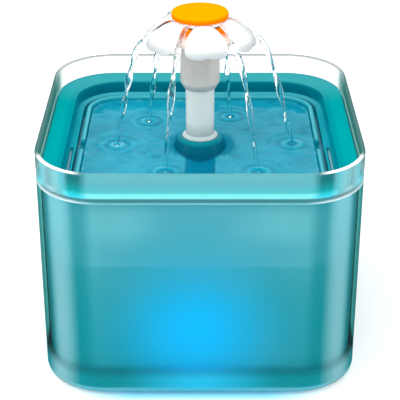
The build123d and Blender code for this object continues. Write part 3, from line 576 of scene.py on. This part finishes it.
def reservoirMaterial():
    material, tree, coordinates, x, y, z = newMaterial("reservoirTeal")
    v = reservoirValues
    share = cornerShare(tree, x, y)
    height = mapRange(tree, z, 0.0, v["height"])
    line = v["waterLine"] / v["height"]
    lineBelow, lineAbove = v["atLine"]
    body = ramp(tree, height, [
        *v["below"], (line - v["lineHalf"], *lineBelow), (line + v["lineHalf"], *lineAbove), *v["above"],
    ])
    for spot in v["blotches"]:
        blotch = near(tree, coordinates, spot, v["blotchReach"], v["blotchSquash"])
        body = mixColour(tree, times(tree, blotch, v["blotchShare"]), body, v["blotch"])
    clouds = mapRange(tree, grain(tree, coordinates, 22, 2.0), *v["clouds"], 0.0, v["cloudShare"])
    body = mixColour(tree, clouds, body, v["cloud"])
    # painted shade: darker towards the sides under the water line, and darkest beside the corners
    side = times(
        tree, mapRange(tree, math2(tree, "ABSOLUTE", x), *v["sides"], 0.0, v["sideShare"], True),
        mapRange(tree, z, *v["sideHeights"], 1.0, v["sideAbove"], True),
    )
    body = mixColour(tree, side, body, v["side"])
    shadeBand = between(tree, share, v["bandFrom"], v["bandTo"])
    shadeBand = times(tree, shadeBand, mapRange(tree, z, *v["bandHeights"], *v["bandShares"], True))
    body = mixColour(tree, shadeBand, body, v["shadeBand"])
    # painted reflection: a pale strip round each corner
    reflectionStrip = mapRange(tree, share, *v["stripFrom"], 0.0, v["stripShare"])
    body = mixColour(tree, reflectionStrip, body, ramp(tree, height, [
        *v["stripLow"], (line, *v["stripAtLine"]), v["stripTop"],
    ]))
    # light from inside, wide and faint, then narrow and bright
    wide = near(tree, coordinates, v["glowMiddle"], v["wideReach"], v["wideSquash"])
    body = mixColour(tree, times(tree, wide, v["wideShare"]), body, v["wide"])
    glow = near(tree, coordinates, v["glowMiddle"], v["glowReach"])
    glow = math2(tree, "POWER", glow, v["glowPower"])
    body = mixColour(tree, glow, body, v["glow"])
    # the lip lies in shade between the shell and the ring
    shade = mixColour(tree, mapRange(tree, z, *v["lipUpper"]), *v["lipShades"])
    shade = mixColour(tree, reflectionStrip, shade, v["lipCorner"])
    body = mixColour(tree, mapRange(tree, z, *v["lip"]), body, shade)
    # brighter towards the foot, which the shell's base shades
    foot = mapRange(tree, z, *shellValues["baseTop"], v["footShare"], 0.0, True)
    body = mixColour(tree, foot, body, body, "ADD")
    return finished(material, paintOf(tree, body, (grain(tree, coordinates, 400), *v["rough"]), {
        "Specular IOR Level": 0.0, "Emission Color": linear(*v["glowLight"]),
        "Emission Strength": times(tree, glow, v["glowStrength"]),
    }))


dress(reservoirMaterial(), "inner_tank")
# here and in the tables below: CAD nodes, name, colour, shade, roughness and bump, then the scales
# of grain and clouds, and metallic, where they differ from the usual
dressPlastic([
    (["foot_pad_1", "foot_pad_2", "foot_pad_3", "foot_pad_4", "cable_grommet"],
     "rubberGrey", (205, 210, 212), (190, 196, 198), (0.5, 0.65), 0.3, 1400),
])
print("shell, ring and reservoir dressed")


# cover frame and tray

frameValues = {
    "heights": (0.112, 0.1275),
    # painted light and shade over one teal, by height: underside, step, lit ledge, shaded steep wall, and the
    # flange with a painted highlight on its light inner edge
    "stops": [
        (0.0, 0, 88, 108), (0.37, 0, 106, 126), (0.40, 36, 148, 164), (0.43, 36, 148, 164),
        (0.46, 0, 94, 116), (0.78, 0, 110, 130), (0.885, 0, 142, 154), (0.905, 10, 182, 188),
        (0.925, 0, 164, 170), (1.0, 0, 172, 176),
    ],
    "back": (0.036, 0.074), "flangeLow": (0.1250, 0.1262), "wallHeights": (0.1183, 0.1262),
    "wall": [(0.0, 30, 176, 192), (0.3, 6, 164, 182), (0.65, 2, 158, 175), (1.0, 0, 162, 172)],
    "wallShare": 0.85, "innerFrom": (0.0768, 0.0812), "innerShare": 0.75, "inner": (0, 140, 152),
    "paleShare": 0.9, "pale": (62, 168, 176), "stepTop": (0.1184, 0.1190), "stepShare": 0.7,
    "step": (84, 204, 218), "cloudShare": 0.12, "cloud": (0, 182, 186), "rough": (0.12, 0.2),
}


def tealFrame():
    material, tree, coordinates, x, y, z = newMaterial("frameTeal")
    v = frameValues
    # painted light and shade by height
    body = ramp(tree, mapRange(tree, z, *v["heights"]), v["stops"])
    body = mixColour(tree, cloudOf(tree, coordinates, 18, v["cloudShare"]), body, v["cloud"])
    # painted light: lighter walls at the front and sides
    back = mapRange(tree, y, *v["back"], smooth=True)
    inside = mapRange(tree, z, *v["flangeLow"], 1.0, 0.0)
    onFlange = rest(tree, inside)
    wall = ramp(tree, mapRange(tree, z, *v["wallHeights"]), v["wall"])
    body = mixColour(tree, times(tree, rest(tree, back), inside, v["wallShare"]), body, wall)
    # painted shade: the flange darkens towards its inner edge; painted reflection: it is paler at the back
    inner = mapRange(tree, outward(tree, x, y), *v["innerFrom"], v["innerShare"], 0.0, True)
    body = mixColour(tree, times(tree, inner, onFlange), body, v["inner"])
    body = mixColour(tree, times(tree, back, onFlange, v["paleShare"]), body, v["pale"])
    # painted light: the step at the back is lighter too
    step = times(tree, back, mapRange(tree, z, *v["stepTop"], 1.0, 0.0), v["stepShare"])
    body = mixColour(tree, step, body, v["step"])
    return finished(material, paintOf(tree, body, (grain(tree, coordinates, 500), *v["rough"]), {
        "Normal": bumpOf(tree, grain(tree, coordinates, 90), 0.05, 0.0006), "Specular IOR Level": 0.0,
    }))


trayValues = {
    "low": 0.094, "high": 0.127, "rimTop": 0.116, "beadTop": 0.119,
    "floor": [(0.0, 8, 164, 188), (0.10, 4, 154, 178), (0.2, 0, 128, 150)],
    # the bead's brightness is a painted highlight
    "rim": (0, 122, 144), "beadFoot": (24, 168, 184), "bead": (84, 200, 214),
    "beadStart": 0.05, "beadFull": 0.012,  # shares of the height under the bead's top
    "beadSides": (0.0, 0.06), "beadDim": 0.55, "beadLow": (0.1170, 0.1180), "beadShade": (40, 170, 190),
    # the bulb, painted in light and shade by height, darkest round its middle
    "bulb": [
        (0.42, 0, 160, 190), (0.50, 0, 144, 178), (0.62, 0, 114, 140), (0.66, 0, 104, 130),
        (0.79, 0, 108, 130), (0.82, 6, 134, 152), (0.86, 14, 146, 162),
    ],
    "bulbRadius": (0.0158, 0.0164), "footRadius": (0.0084, 0.0090), "footTop": (0.1082, 0.1090),
    # the foot is painted lighter, against the shade under the bulb
    "foot": (0, 192, 220), "rough": (0.10, 0.18),
}


def tealTray():
    material, tree, coordinates, x, y, z = newMaterial("trayTeal")
    v = trayValues
    height = mapRange(tree, z, v["low"], v["high"])
    rim, bead = ((v[top] - v["low"]) / (v["high"] - v["low"]) for top in ("rimTop", "beadTop"))
    body = ramp(tree, height, [
        *v["floor"], (rim, *v["rim"]), (bead - v["beadStart"], *v["beadFoot"]),
        (bead - v["beadFull"], *v["bead"]),
    ])
    # painted shade: the bead is dimmer at the front and sides, so its painted highlight shows at the back
    dim = times(
        tree, mapRange(tree, y, *v["beadSides"], v["beadDim"], 0.0), mapRange(tree, z, *v["beadLow"]),
    )
    body = mixColour(tree, dim, body, v["beadShade"])
    # the bulb in the middle, in painted light and shade, on its foot, which is painted lighter against the
    # shade under the bulb
    radius = fromAxis(tree, x, y)
    onBulb = mapRange(tree, radius, *v["bulbRadius"], 1.0, 0.0)
    body = mixColour(tree, onBulb, body, ramp(tree, height, v["bulb"]))
    onFoot = mapRange(tree, radius, *v["footRadius"], 1.0, 0.0)
    onFoot = times(tree, onFoot, mapRange(tree, z, *v["footTop"], 1.0, 0.0))
    body = mixColour(tree, onFoot, body, v["foot"])
    return finished(material, paintOf(tree, body, (grain(tree, coordinates, 500), *v["rough"]), {
        "Normal": bumpOf(tree, grain(tree, coordinates, 80), 0.05, 0.0006), "Specular IOR Level": 0.02,
    }))


dress(tealFrame(), "cover_frame")
dress(tealTray(), "drinking_tray")
print("cover and tray dressed")


# stem, socket, spreader and core

def bandedPlastic(name, heights, stops, rough=(0.2, 0.3), bump=0.08, cloud=(0.7, 0.75, 0.76, 1), more=None):
    # plastic whose colour changes with height
    material, tree, coordinates, _, _, z = newMaterial(name)
    body = ramp(tree, mapRange(tree, z, *heights), stops)
    clouds = mapRange(tree, grain(tree, coordinates, 40), 0.3, 0.7, 0.0, 0.06)
    body = mixColour(tree, clouds, body, cloud)
    return finished(material, moulded(tree, body, grain(tree, coordinates, 900), rough, bump, more))


orangeFinish = {"cloud": (255, 120, 0), "more": {"Specular IOR Level": 0.0}}
# the stem carries painted shade: bluish grey on its flange, greyest where the tube meets it, and a little
# darker up towards the socket
dress(bandedPlastic("stemWhite", (0.1224, 0.1561), [
    (0.0, 196, 214, 214), (0.05, 200, 218, 218), (0.075, 190, 198, 196), (0.3, 238, 242, 240),
    (1.0, 228, 232, 228),
]), "riser_stem")
# the socket is painted grey with the petals' shadow, darkest at its bottom rim
dress(bandedPlastic("socketWhite", (0.1531, 0.1802), [
    (0.0, 184, 184, 180), (0.12, 206, 202, 196), (0.7, 200, 192, 186), (1.0, 198, 192, 190),
]), "flower_socket")
dress(bandedPlastic("spreaderOrange", (0.174, 0.193), [
    (0.0, 246, 234, 230), (0.74, 248, 224, 214), (0.86, 250, 120, 8), (1.0, 250, 132, 0),
], (0.15, 0.25), **orangeFinish), "flower_spreader")
# painted shade: the core is darker orange down its rounded edge and lightest on top
dress(bandedPlastic("coreOrange", (0.1953, 0.1984), [
    (0.0, 246, 118, 0), (0.5, 248, 132, 0), (0.85, 252, 158, 0), (0.99, 252, 178, 2),
], (0.3, 0.4), 0.02, **orangeFinish), "flower_core")
print("stem and core dressed")


# petals

petalValues = {
    "count": 6, "firstAngle": -82.5, "baseZ": 0.1951, "drop": 0.0120, "fall": 1.57, "fallEnd": 1.15,
    "root": 0.016, "reach": 0.0319, "rootHalf": 0.0062, "wideHalf": 0.0121, "wideAt": 0.0272,
    "widenPower": 1.15, "tipPower": 2.5, "leastHalf": 0.0004,
    "thick": 0.0023, "crown": 0.0010, "inner": 0.0085, "bow": 0.75,
    "sideRound": 4, "tipRound": 10, "roundPower": 1.5, "rows": 26, "columns": 17,
    "hubRadius": 0.0158, "hubHole": 0.00495, "hubChamfer": 0.0008, "hubUnderChamfer": 0.0006,
    "whites": ((250, 250, 251), (244, 246, 247)), "rough": (0.22, 0.32), "bump": 0.05,
    # painted shade at the tips and where the surface turns away
    "tipFrom": (0.0290, 0.0319), "tipShare": 0.9, "tip": (190, 197, 199),
    "turnedFrom": (0.45, 0.95), "turnedShare": 0.9, "turned": (168, 178, 180),
}


def petalTop(radius):
    v = petalValues
    run = max(0.0, (radius - v["root"]) / (v["reach"] - v["root"]))
    return v["baseZ"] - v["drop"] * min(v["fallEnd"], run) ** v["fall"]


def petalHalfWidth(along):
    v = petalValues
    if along <= v["root"]:
        return v["rootHalf"]
    if along <= v["wideAt"]:
        t = (along - v["root"]) / (v["wideAt"] - v["root"])
        return v["rootHalf"] + (v["wideHalf"] - v["rootHalf"]) * math.sin(math.pi / 2 * t) ** v["widenPower"]
    t = min(1.0, (along - v["wideAt"]) / (v["reach"] - v["wideAt"]))
    return v["wideHalf"] * max(0.0, 1 - t ** v["tipPower"]) ** (1 / v["tipPower"])


def petalMesh():
    # one petal along +X: a crowned top and a hollowed underside that meet in a round edge
    v = petalValues
    lastRow, lastColumn = v["rows"] - 1, v["columns"] - 1
    vertices, faces, index = [], [], {}
    for side in (1, -1):
        for i in range(v["rows"]):
            along = v["inner"] + (v["reach"] - v["inner"]) * math.sin(math.pi / 2 * i / lastRow)
            half = max(petalHalfWidth(along), v["leastHalf"])
            crown = v["crown"] * min(1.0, half / v["rootHalf"])
            for j in range(v["columns"]):
                across = math.sin(math.pi / 2 * (2 * j / lastColumn - 1))
                edge = max(abs(across) ** v["sideRound"], (i / lastRow) ** v["tipRound"])
                thickness = v["thick"] * math.sqrt(max(0.0, 1 - edge ** v["roundPower"]))
                yy = across * half
                top = petalTop(math.hypot(along, yy * v["bow"])) - crown * across * across
                middle = top - v["thick"] / 2
                index[side, i, j] = len(vertices)
                vertices.append((along, yy, middle + side * thickness / 2))
    for side in (1, -1):
        for i in range(lastRow):
            for j in range(lastColumn):
                corners = ((i, j), (i + 1, j), (i + 1, j + 1), (i, j + 1))
                quad = [index[side, row, column] for row, column in corners]
                faces.append(quad if side > 0 else quad[::-1])
    # close the root
    for j in range(lastColumn):
        faces.append([index[1, 0, j], index[1, 0, j + 1], index[-1, 0, j + 1], index[-1, 0, j]])
    # close the two long edges and the tip, where top and underside don't coincide
    for i in range(lastRow):
        for j in (0, lastColumn):
            faces.append([index[1, i, j], index[-1, i, j], index[-1, i + 1, j], index[1, i + 1, j]])
    for j in range(lastColumn):
        i = lastRow
        faces.append([index[1, i, j], index[-1, i, j], index[-1, i, j + 1], index[1, i, j + 1]])
    made = meshObject("petalShape", vertices, faces)
    mesh = made.data
    bpy.data.objects.remove(made)
    return mesh


def latheMesh(name, outline, steps=96):
    # closed ring from an outline of (radius, height) points
    vertices, faces = [], []
    for k in range(steps):
        turn = 2 * math.pi * k / steps
        for radius, height in outline:
            vertices.append((radius * math.cos(turn), radius * math.sin(turn), height))
    size = len(outline)
    for k in range(steps):
        nextTurn = (k + 1) % steps
        for i in range(size):
            j = (i + 1) % size
            faces.append([k * size + i, nextTurn * size + i, nextTurn * size + j, k * size + j])
    return meshObject(name, vertices, faces)


def petalMaterial():
    # soft white, with painted shade: greyer at the drooping tips and where the surface turns away
    material, tree, coordinates, x, y, _ = newMaterial("petalWhite")
    v = petalValues
    body = mixColour(tree, cloudOf(tree, coordinates, 25), *v["whites"])
    tips = mapRange(tree, fromAxis(tree, x, y), *v["tipFrom"], 0.0, v["tipShare"], True)
    body = mixColour(tree, tips, body, v["tip"])
    turned = mapRange(tree, facingOf(tree), *v["turnedFrom"], 0.0, v["turnedShare"])
    body = mixColour(tree, turned, body, v["turned"])
    fine = grain(tree, coordinates, 700)
    return finished(material, moulded(tree, body, fine, v["rough"], v["bump"], {"Specular IOR Level": 0.3}))


petalWhite = petalMaterial()


def petalTree():
    # instances the petal round the core
    tree, given, keys = newTree("petalRing", {"Count": "Int", "First angle": "Float"})
    points = add(tree, "GeometryNodePoints", {"Count": given["Count"]}).outputs[0]
    index = add(tree, "GeometryNodeInputIndex").outputs[0]
    step = math2(tree, "DIVIDE", 2 * math.pi, given["Count"])
    turn = math2(tree, "ADD", times(tree, index, step), given["First angle"])
    ring = add(tree, "GeometryNodeInstanceOnPoints", {
        "Points": points, "Instance": given["Geometry"],
        "Rotation": add(tree, "ShaderNodeCombineXYZ", {"Z": turn}).outputs[0],
    }).outputs[0]
    closeTree(tree, ring, petalWhite)
    return tree, keys


def hubMesh():
    # the ring that the petals grow from
    v = petalValues
    top, under = v["baseZ"], v["baseZ"] - v["thick"]
    hole, radius, chamfer = v["hubHole"], v["hubRadius"], v["hubChamfer"]
    return latheMesh("petalHub", [
        (hole, under), (radius - v["hubUnderChamfer"], under), (radius, under + chamfer),
        (radius, top - chamfer), (radius - chamfer, top), (hole, top),
    ])


petalNodes, petalKeys = petalTree()
petalRing = grow("petalRing", petalNodes, petalKeys, {
    "Count": petalValues["count"], "First angle": math.radians(petalValues["firstAngle"]),
}, petalMesh())
hub = hubMesh()
hub.data.materials.append(petalWhite)
petals = joinInto("petals", [petalRing, hub])
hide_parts("petal_cap")
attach(petals, "flower")
print("petals made:", len(petals.data.polygons), "faces")


# falling water

waterLevel = 0.1163
waterIndex = 1.333  # of refraction

streamValues = {
    "startRadius": 0.0330, "startZ": 0.1822, "topRadius": 0.0021, "bottomRadius": 0.0010,
    "thinPower": 2.2, "beatScale": 70.0, "beat": (0.3, 0.7), "swell": (0.84, 1.16),
    "flatness": 0.5, "turns": 1.1, "turnStep": 0.17, "seed": 1.3, "seedStep": 3.7,
    "steps": 72, "ringPoints": 16, "lean": 0.35, "dip": 0.004, "sink": 0.0004,
    "tint": (0.97, 0.995, 1.0, 1), "lineStretch": (1, 1, 0.12), "lineScale": 700, "lineBump": 0.5,
}
# thin sheets of water between the petals, which feed the streams
filmValues = {
    "startRadius": 0.0164, "startZ": 0.1950, "middleRadius": 0.0290, "middleZ": 0.1942,
    "topRadius": 0.0013, "bottomRadius": 0.0022, "flatness": 0.16, "seedStep": 1.9,
}

# each stream: gap direction and landing direction in degrees from the front, and landing radius
streams = [
    ("streamFrontLeft", -22.5, -27, 0.0430), ("streamFrontRight", 37.5, 41, 0.0500),
    ("streamRight", 97.5, 91, 0.0546), ("streamBackRight", 157.5, 156, 0.0460),
    ("streamBackLeft", -142.5, -138, 0.0470), ("streamLeft", -82.5, -89, 0.0490),
]


def towards(degrees, radius):
    # a point round the axis, at an angle from the front
    turn = math.radians(degrees)
    return (radius * math.sin(turn), -radius * math.cos(turn))


def streamMaterial():
    # clear water, with fine lines that run down the stream
    material, tree, coordinates, *_ = newMaterial("streamWater")
    v = streamValues
    stretch = add(tree, "ShaderNodeVectorMath", {
        0: coordinates, 1: v["lineStretch"],
    }, operation="MULTIPLY").outputs[0]
    lines = grain(tree, stretch, v["lineScale"], 1.0)
    return finished(material, paintOf(tree, v["tint"], 0.0, {
        "IOR": waterIndex, "Transmission Weight": 1.0, "Normal": bumpOf(tree, lines, v["lineBump"], 0.0008),
    }))


streamWater = streamMaterial()


def streamTree():
    # a falling jet: a thrown path, thinning on its way down, with a flat section that twists
    tree, given, keys = newTree("fallingJet", {
        "Start": "Vector", "Middle": "Vector", "End": "Vector",
        "Top radius": "Float", "Bottom radius": "Float", "Flatness": "Float", "Turns": "Float",
        "Seed": "Float", "Steps": "Int", "Ring points": "Int",
    })
    v = streamValues
    path = add(tree, "GeometryNodeCurveQuadraticBezier", {
        "Resolution": given["Steps"], "Start": given["Start"], "Middle": given["Middle"], "End": given["End"],
    }).outputs[0]
    along = add(tree, "GeometryNodeSplineParameter").outputs["Factor"]
    curve = math2(tree, "POWER", along, v["thinPower"])
    thin = mapRange(tree, curve, 0.0, 1.0, given["Top radius"], given["Bottom radius"])
    beat = add(tree, "ShaderNodeTexNoise", {
        "W": given["Seed"], "Scale": v["beatScale"], "Detail": 1.0,
    }, noise_dimensions="4D").outputs["Fac"]
    width = times(tree, thin, mapRange(tree, beat, *v["beat"], *v["swell"]))
    twist = times(tree, along, times(tree, given["Turns"], 2 * math.pi))
    level = add(tree, "GeometryNodeSetCurveNormal", {"Curve": path}, mode="Z_UP").outputs[0]
    turned = add(tree, "GeometryNodeSetCurveTilt", {"Curve": level, "Tilt": twist}).outputs[0]
    ring = add(tree, "GeometryNodeCurvePrimitiveCircle", {
        "Resolution": given["Ring points"], "Radius": 1.0,
    }).outputs[0]
    flat = add(tree, "ShaderNodeCombineXYZ", {"X": 1.0, "Y": given["Flatness"], "Z": 1.0}).outputs[0]
    section = add(tree, "GeometryNodeTransform", {"Geometry": ring, "Scale": flat}).outputs[0]
    jet = add(tree, "GeometryNodeCurveToMesh", {
        "Curve": turned, "Profile Curve": section, "Scale": width, "Fill Caps": True,
    }).outputs[0]
    closeTree(tree, jet, streamWater)
    return tree, keys


streamNodes, streamKeys = streamTree()


def growJet(name, start, middle, end, values, turns, seed):
    jet = grow(name, streamNodes, streamKeys, {
        "Start": start, "Middle": middle, "End": end,
        "Top radius": values["topRadius"], "Bottom radius": values["bottomRadius"],
        "Flatness": values["flatness"], "Turns": turns, "Seed": seed,
        "Steps": streamValues["steps"], "Ring points": streamValues["ringPoints"],
    })
    mend(jet.data)
    jet.visible_shadow = False
    return jet


films = []
v, f = streamValues, filmValues
for number, (name, gap, landing, radius) in enumerate(streams):
    startX, startY = towards(gap, v["startRadius"])
    endX, endY = towards(landing, radius)
    jet = growJet(
        name, (startX, startY, v["startZ"]),
        (startX + v["lean"] * (endX - startX), startY + v["lean"] * (endY - startY), v["startZ"] - v["dip"]),
        (endX, endY, waterLevel - v["sink"]),
        v, v["turns"] + v["turnStep"] * number, v["seedStep"] * number + v["seed"],
    )
    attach(jet, "tray")
    # pulling the stem stops the water: each stream sinks into the tray
    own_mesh(jet)
    films.append(growJet(
        name + "Film", (*towards(gap, f["startRadius"]), f["startZ"]),
        (*towards(gap, f["middleRadius"]), f["middleZ"]), (startX, startY, v["startZ"]),
        f, 0.0, f["seedStep"] * number,
    ))
gapWater = joinInto("gapWater", films)
gapWater.visible_shadow = False
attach(gapWater, "flower")
print("streams made")


# water in the tray

trayWaterValues = {
    "half": 0.0674, "corner": 0.0180, "hole": 0.0160, "rows": 110, "columns": 480, "depth": 0.0016,
    # rings round each landing
    "ringHeight": 0.0008, "ringLength": 0.0064, "ringFade": 0.0056, "ringReach": 0.045, "ringShift": 0.6,
    # chop between them, and the water that climbs the walls, with their noise
    "chop": 0.00040, "chopScale": 90, "chopLayer": 0.3, "chopNoise": (1.0, 2.0, 3),
    "climb": 0.0004, "climbReach": 0.0016, "climbScale": 260, "climbLayer": 1.7, "climbVary": 0.8,
    "calmReach": 0.002,
    # what chop and climb add to the rings' painted lightness
    "chopLight": 0.35, "climbLight": 900,
    # painted light and shade on the ripples: dark in the troughs, light on the crests
    "tones": [
        (0.0, 0, 92, 118), (0.3, 4, 146, 172), (0.5, 24, 178, 205), (0.68, 52, 196, 218),
        (1.0, 184, 238, 248),
    ],
    "crests": (-0.9, 0.9),
    "bulbClear": (0.0175, 0.0230), "footHalf": (0.0081, 0.0092), "footFront": (-0.012, -0.016),
    "through": (190, 238, 246), "rough": 0.06, "bump": 0.12, "bumpDepth": 0.0015,
    "body": (0.50, 0.08),  # share of solid colour, from deep to clear
}
landings = [towards(landing, radius) for _, _, landing, radius in streams]


def squareRadius(turn, half, corner):
    # distance from the middle to the edge of a square with round corners
    c, s = abs(math.cos(turn)), abs(math.sin(turn))
    straight = half / max(c, s)
    px, py = straight * c, straight * s
    if max(min(px, py) - (half - corner), 0) == 0:
        return straight
    # on the corner's arc
    centre = half - corner
    along = centre * (c + s)
    return along + math.sqrt(max(0.0, along * along - (2 * centre * centre - corner * corner)))


def rippleAt(px, py):
    v = trayWaterValues
    total = 0.0
    for k, (lx, ly) in enumerate(landings):
        d = math.hypot(px - lx, py - ly)
        if d < v["ringReach"]:
            wave = math.cos(2 * math.pi * d / v["ringLength"] + v["ringShift"] * k)
            total += wave * math.exp(-d / v["ringFade"])
    return total


def surfacePoint(turn, share):
    # a point of the water's surface, from the bulb (0) to the wall (1), and its painted lightness
    v = trayWaterValues
    outer = squareRadius(turn, v["half"], v["corner"])
    radius = v["hole"] + (outer - v["hole"]) * share
    px, py = radius * math.cos(turn), radius * math.sin(turn)
    ripple = rippleAt(px, py)
    chopPlace = Vector((px * v["chopScale"], py * v["chopScale"], v["chopLayer"]))
    chop = noise.fractal(chopPlace, *v["chopNoise"])
    edge = min(outer - radius, radius - v["hole"])
    vary = noise.noise(Vector((px * v["climbScale"], py * v["climbScale"], v["climbLayer"])))
    lift = v["climb"] * math.exp(-edge / v["climbReach"]) * (1 + v["climbVary"] * vary)
    calm = min(1.0, edge / v["calmReach"])
    height = waterLevel + (v["ringHeight"] * ripple + v["chop"] * chop) * calm + lift
    return (px, py, height), ripple + v["chopLight"] * chop + v["climbLight"] * lift


def trayWaterMesh():
    v = trayWaterValues
    vertices, crest = [], []
    rows, columns = v["rows"], v["columns"]
    for i in range(rows):
        for j in range(columns):
            point, light = surfacePoint(2 * math.pi * j / columns, i / (rows - 1))
            vertices.append(point)
            crest.append(light)
    faces = []
    for i in range(rows - 1):
        for j in range(columns):
            k = (j + 1) % columns
            faces.append([i * columns + j, (i + 1) * columns + j, (i + 1) * columns + k, i * columns + k])
    # flat underside and the two short walls
    bottomInner, bottomOuter = len(vertices), len(vertices) + columns
    for i in (0, rows - 1):
        for j in range(columns):
            px, py, _ = vertices[i * columns + j]
            vertices.append((px, py, waterLevel - v["depth"]))
            crest.append(0.0)
    last = (rows - 1) * columns
    for j in range(columns):
        k = (j + 1) % columns
        faces.append([j, k, bottomInner + k, bottomInner + j])
        faces.append([last + j, bottomOuter + j, bottomOuter + k, last + k])
        faces.append([bottomInner + j, bottomInner + k, bottomOuter + k, bottomOuter + j])
    mesh = bpy.data.meshes.new("trayWater")
    mesh.from_pydata(vertices, [], faces)
    shadeSmooth(mesh)
    attribute = mesh.attributes.new("crest", "FLOAT", "POINT")
    attribute.data.foreach_set("value", np.array(crest, np.float32))
    return linked("trayWater", mesh)


def trayWaterMaterial():
    material, tree, coordinates, x, y, _ = newMaterial("trayWater")
    v = trayWaterValues
    crest = add(tree, "ShaderNodeAttribute", attribute_name="crest").outputs["Fac"]
    through = add(tree, "ShaderNodeBsdfTransparent", {"Color": linear(*v["through"])}).outputs[0]
    # painted light and shade on the ripples, from the crest
    tone = ramp(tree, mapRange(tree, crest, *v["crests"]), v["tones"])
    body = paintOf(tree, tone, v["rough"], {
        "IOR": waterIndex, "Specular IOR Level": 0.10,
        "Normal": bumpOf(tree, grain(tree, coordinates, 120, 4.0), v["bump"], v["bumpDepth"]),
    })
    # clearest round the bulb and in front of it, where its foot shows
    about = mapRange(tree, fromAxis(tree, x, y), *v["bulbClear"], 1.0, 0.0, True)
    ahead = times(
        tree, mapRange(tree, math2(tree, "ABSOLUTE", x), *v["footHalf"], 1.0, 0.0, True),
        mapRange(tree, y, *v["footFront"]),
    )
    clear = math2(tree, "MAXIMUM", about, ahead)
    return finished(material, mixShader(tree, mapRange(tree, clear, 0.0, 1.0, *v["body"]), through, body))


trayWater = trayWaterMesh()
trayWater.data.materials.append(trayWaterMaterial())
trayWater.visible_shadow = False
trayWater.visible_diffuse = False
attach(trayWater, "tray")
print("tray water made:", len(trayWater.data.polygons), "faces")


# filter

dressPlastic([
    (["filter_basket", "basket_grid", "filter_frame"],
     "basketWhite", (150, 208, 220), (136, 198, 212), (0.35, 0.5), 0.15),
    (["filter_cotton"], "cottonWhite", (240, 240, 236), (220, 222, 218), (0.85, 0.98), 1.0, 500, 300),
    (["filter_carbon"], "carbonBlack", (30, 30, 32), (62, 62, 66), (0.5, 0.9), 1.0, 700, 600),
])
print("filter dressed")


# pump

dressPlastic([
    (["pump_housing", "pump_cover", "intake_plate", "led_bar"],
     "pumpBlack", (30, 32, 35), (38, 40, 44), (0.38, 0.5), 0.3, 1500),
    (["pump_potting"], "pottingBlack", (20, 21, 23), (28, 29, 32), (0.15, 0.3), 0.1, 300),
    (["cable_gland"], "rubberBlack", (26, 27, 28), (36, 37, 38), (0.55, 0.7), 0.3, 1200),
    (["suction_cup_1", "suction_cup_2", "suction_cup_3", "suction_cup_4"],
     "rubberClear", (206, 218, 220), (188, 204, 208), (0.35, 0.5), 0.2),
    (["stem_seal"], "sealGrey", (80, 84, 86), (98, 102, 104), (0.5, 0.65), 0.2),
    (["rear_bush", "impeller_shaft"],
     "ceramicWhite", (238, 238, 232), (226, 226, 218), (0.1, 0.2), 0.05),
    (["stator_core"], "coreSteel", (138, 142, 146), (116, 120, 125), (0.3, 0.45), 0.4, 500, 200, 1.0),
    (["stator_coil_front", "stator_coil_rear"],
     "coilCopper", (196, 110, 62), (168, 84, 44), (0.3, 0.4), 0.5, 700, 300, 1.0),
    (["rotor_magnet"], "magnetDark", (52, 52, 56), (70, 70, 75), (0.35, 0.5), 0.2),
    (["impeller", "flow_slider"],
     "impellerWhite", (226, 232, 236), (212, 220, 226), (0.28, 0.4), 0.1),
    (["foam_prefilter"], "foamBlue", (52, 92, 136), (30, 58, 96), (0.85, 0.98), 1.0, 420, 380),
    (["led_board"], "boardGreen", (30, 96, 58), (22, 76, 46), (0.35, 0.5), 0.2, 600, 400),
])
dress(clearPlastic("pipeClear", (0.86, 0.93, 0.94, 1), (0.35, 0.46, 0.47, 1)), "riser_pipe")


lensValues = {"blues": ((120, 200, 250), (90, 180, 245)), "rough": 0.12, "light": (40, 170, 255), "glow": 1.2}


def lensMaterial():
    material, tree, coordinates, *_ = newMaterial("lensBlue")
    v = lensValues
    blue = mixColour(tree, grain(tree, coordinates, 300), *v["blues"])
    return finished(material, paintOf(tree, blue, v["rough"], {
        "Emission Color": linear(*v["light"]), "Emission Strength": v["glow"],
    }))


dress(lensMaterial(), "led_lens_1", "led_lens_2", "led_lens_3")
print("pump dressed")
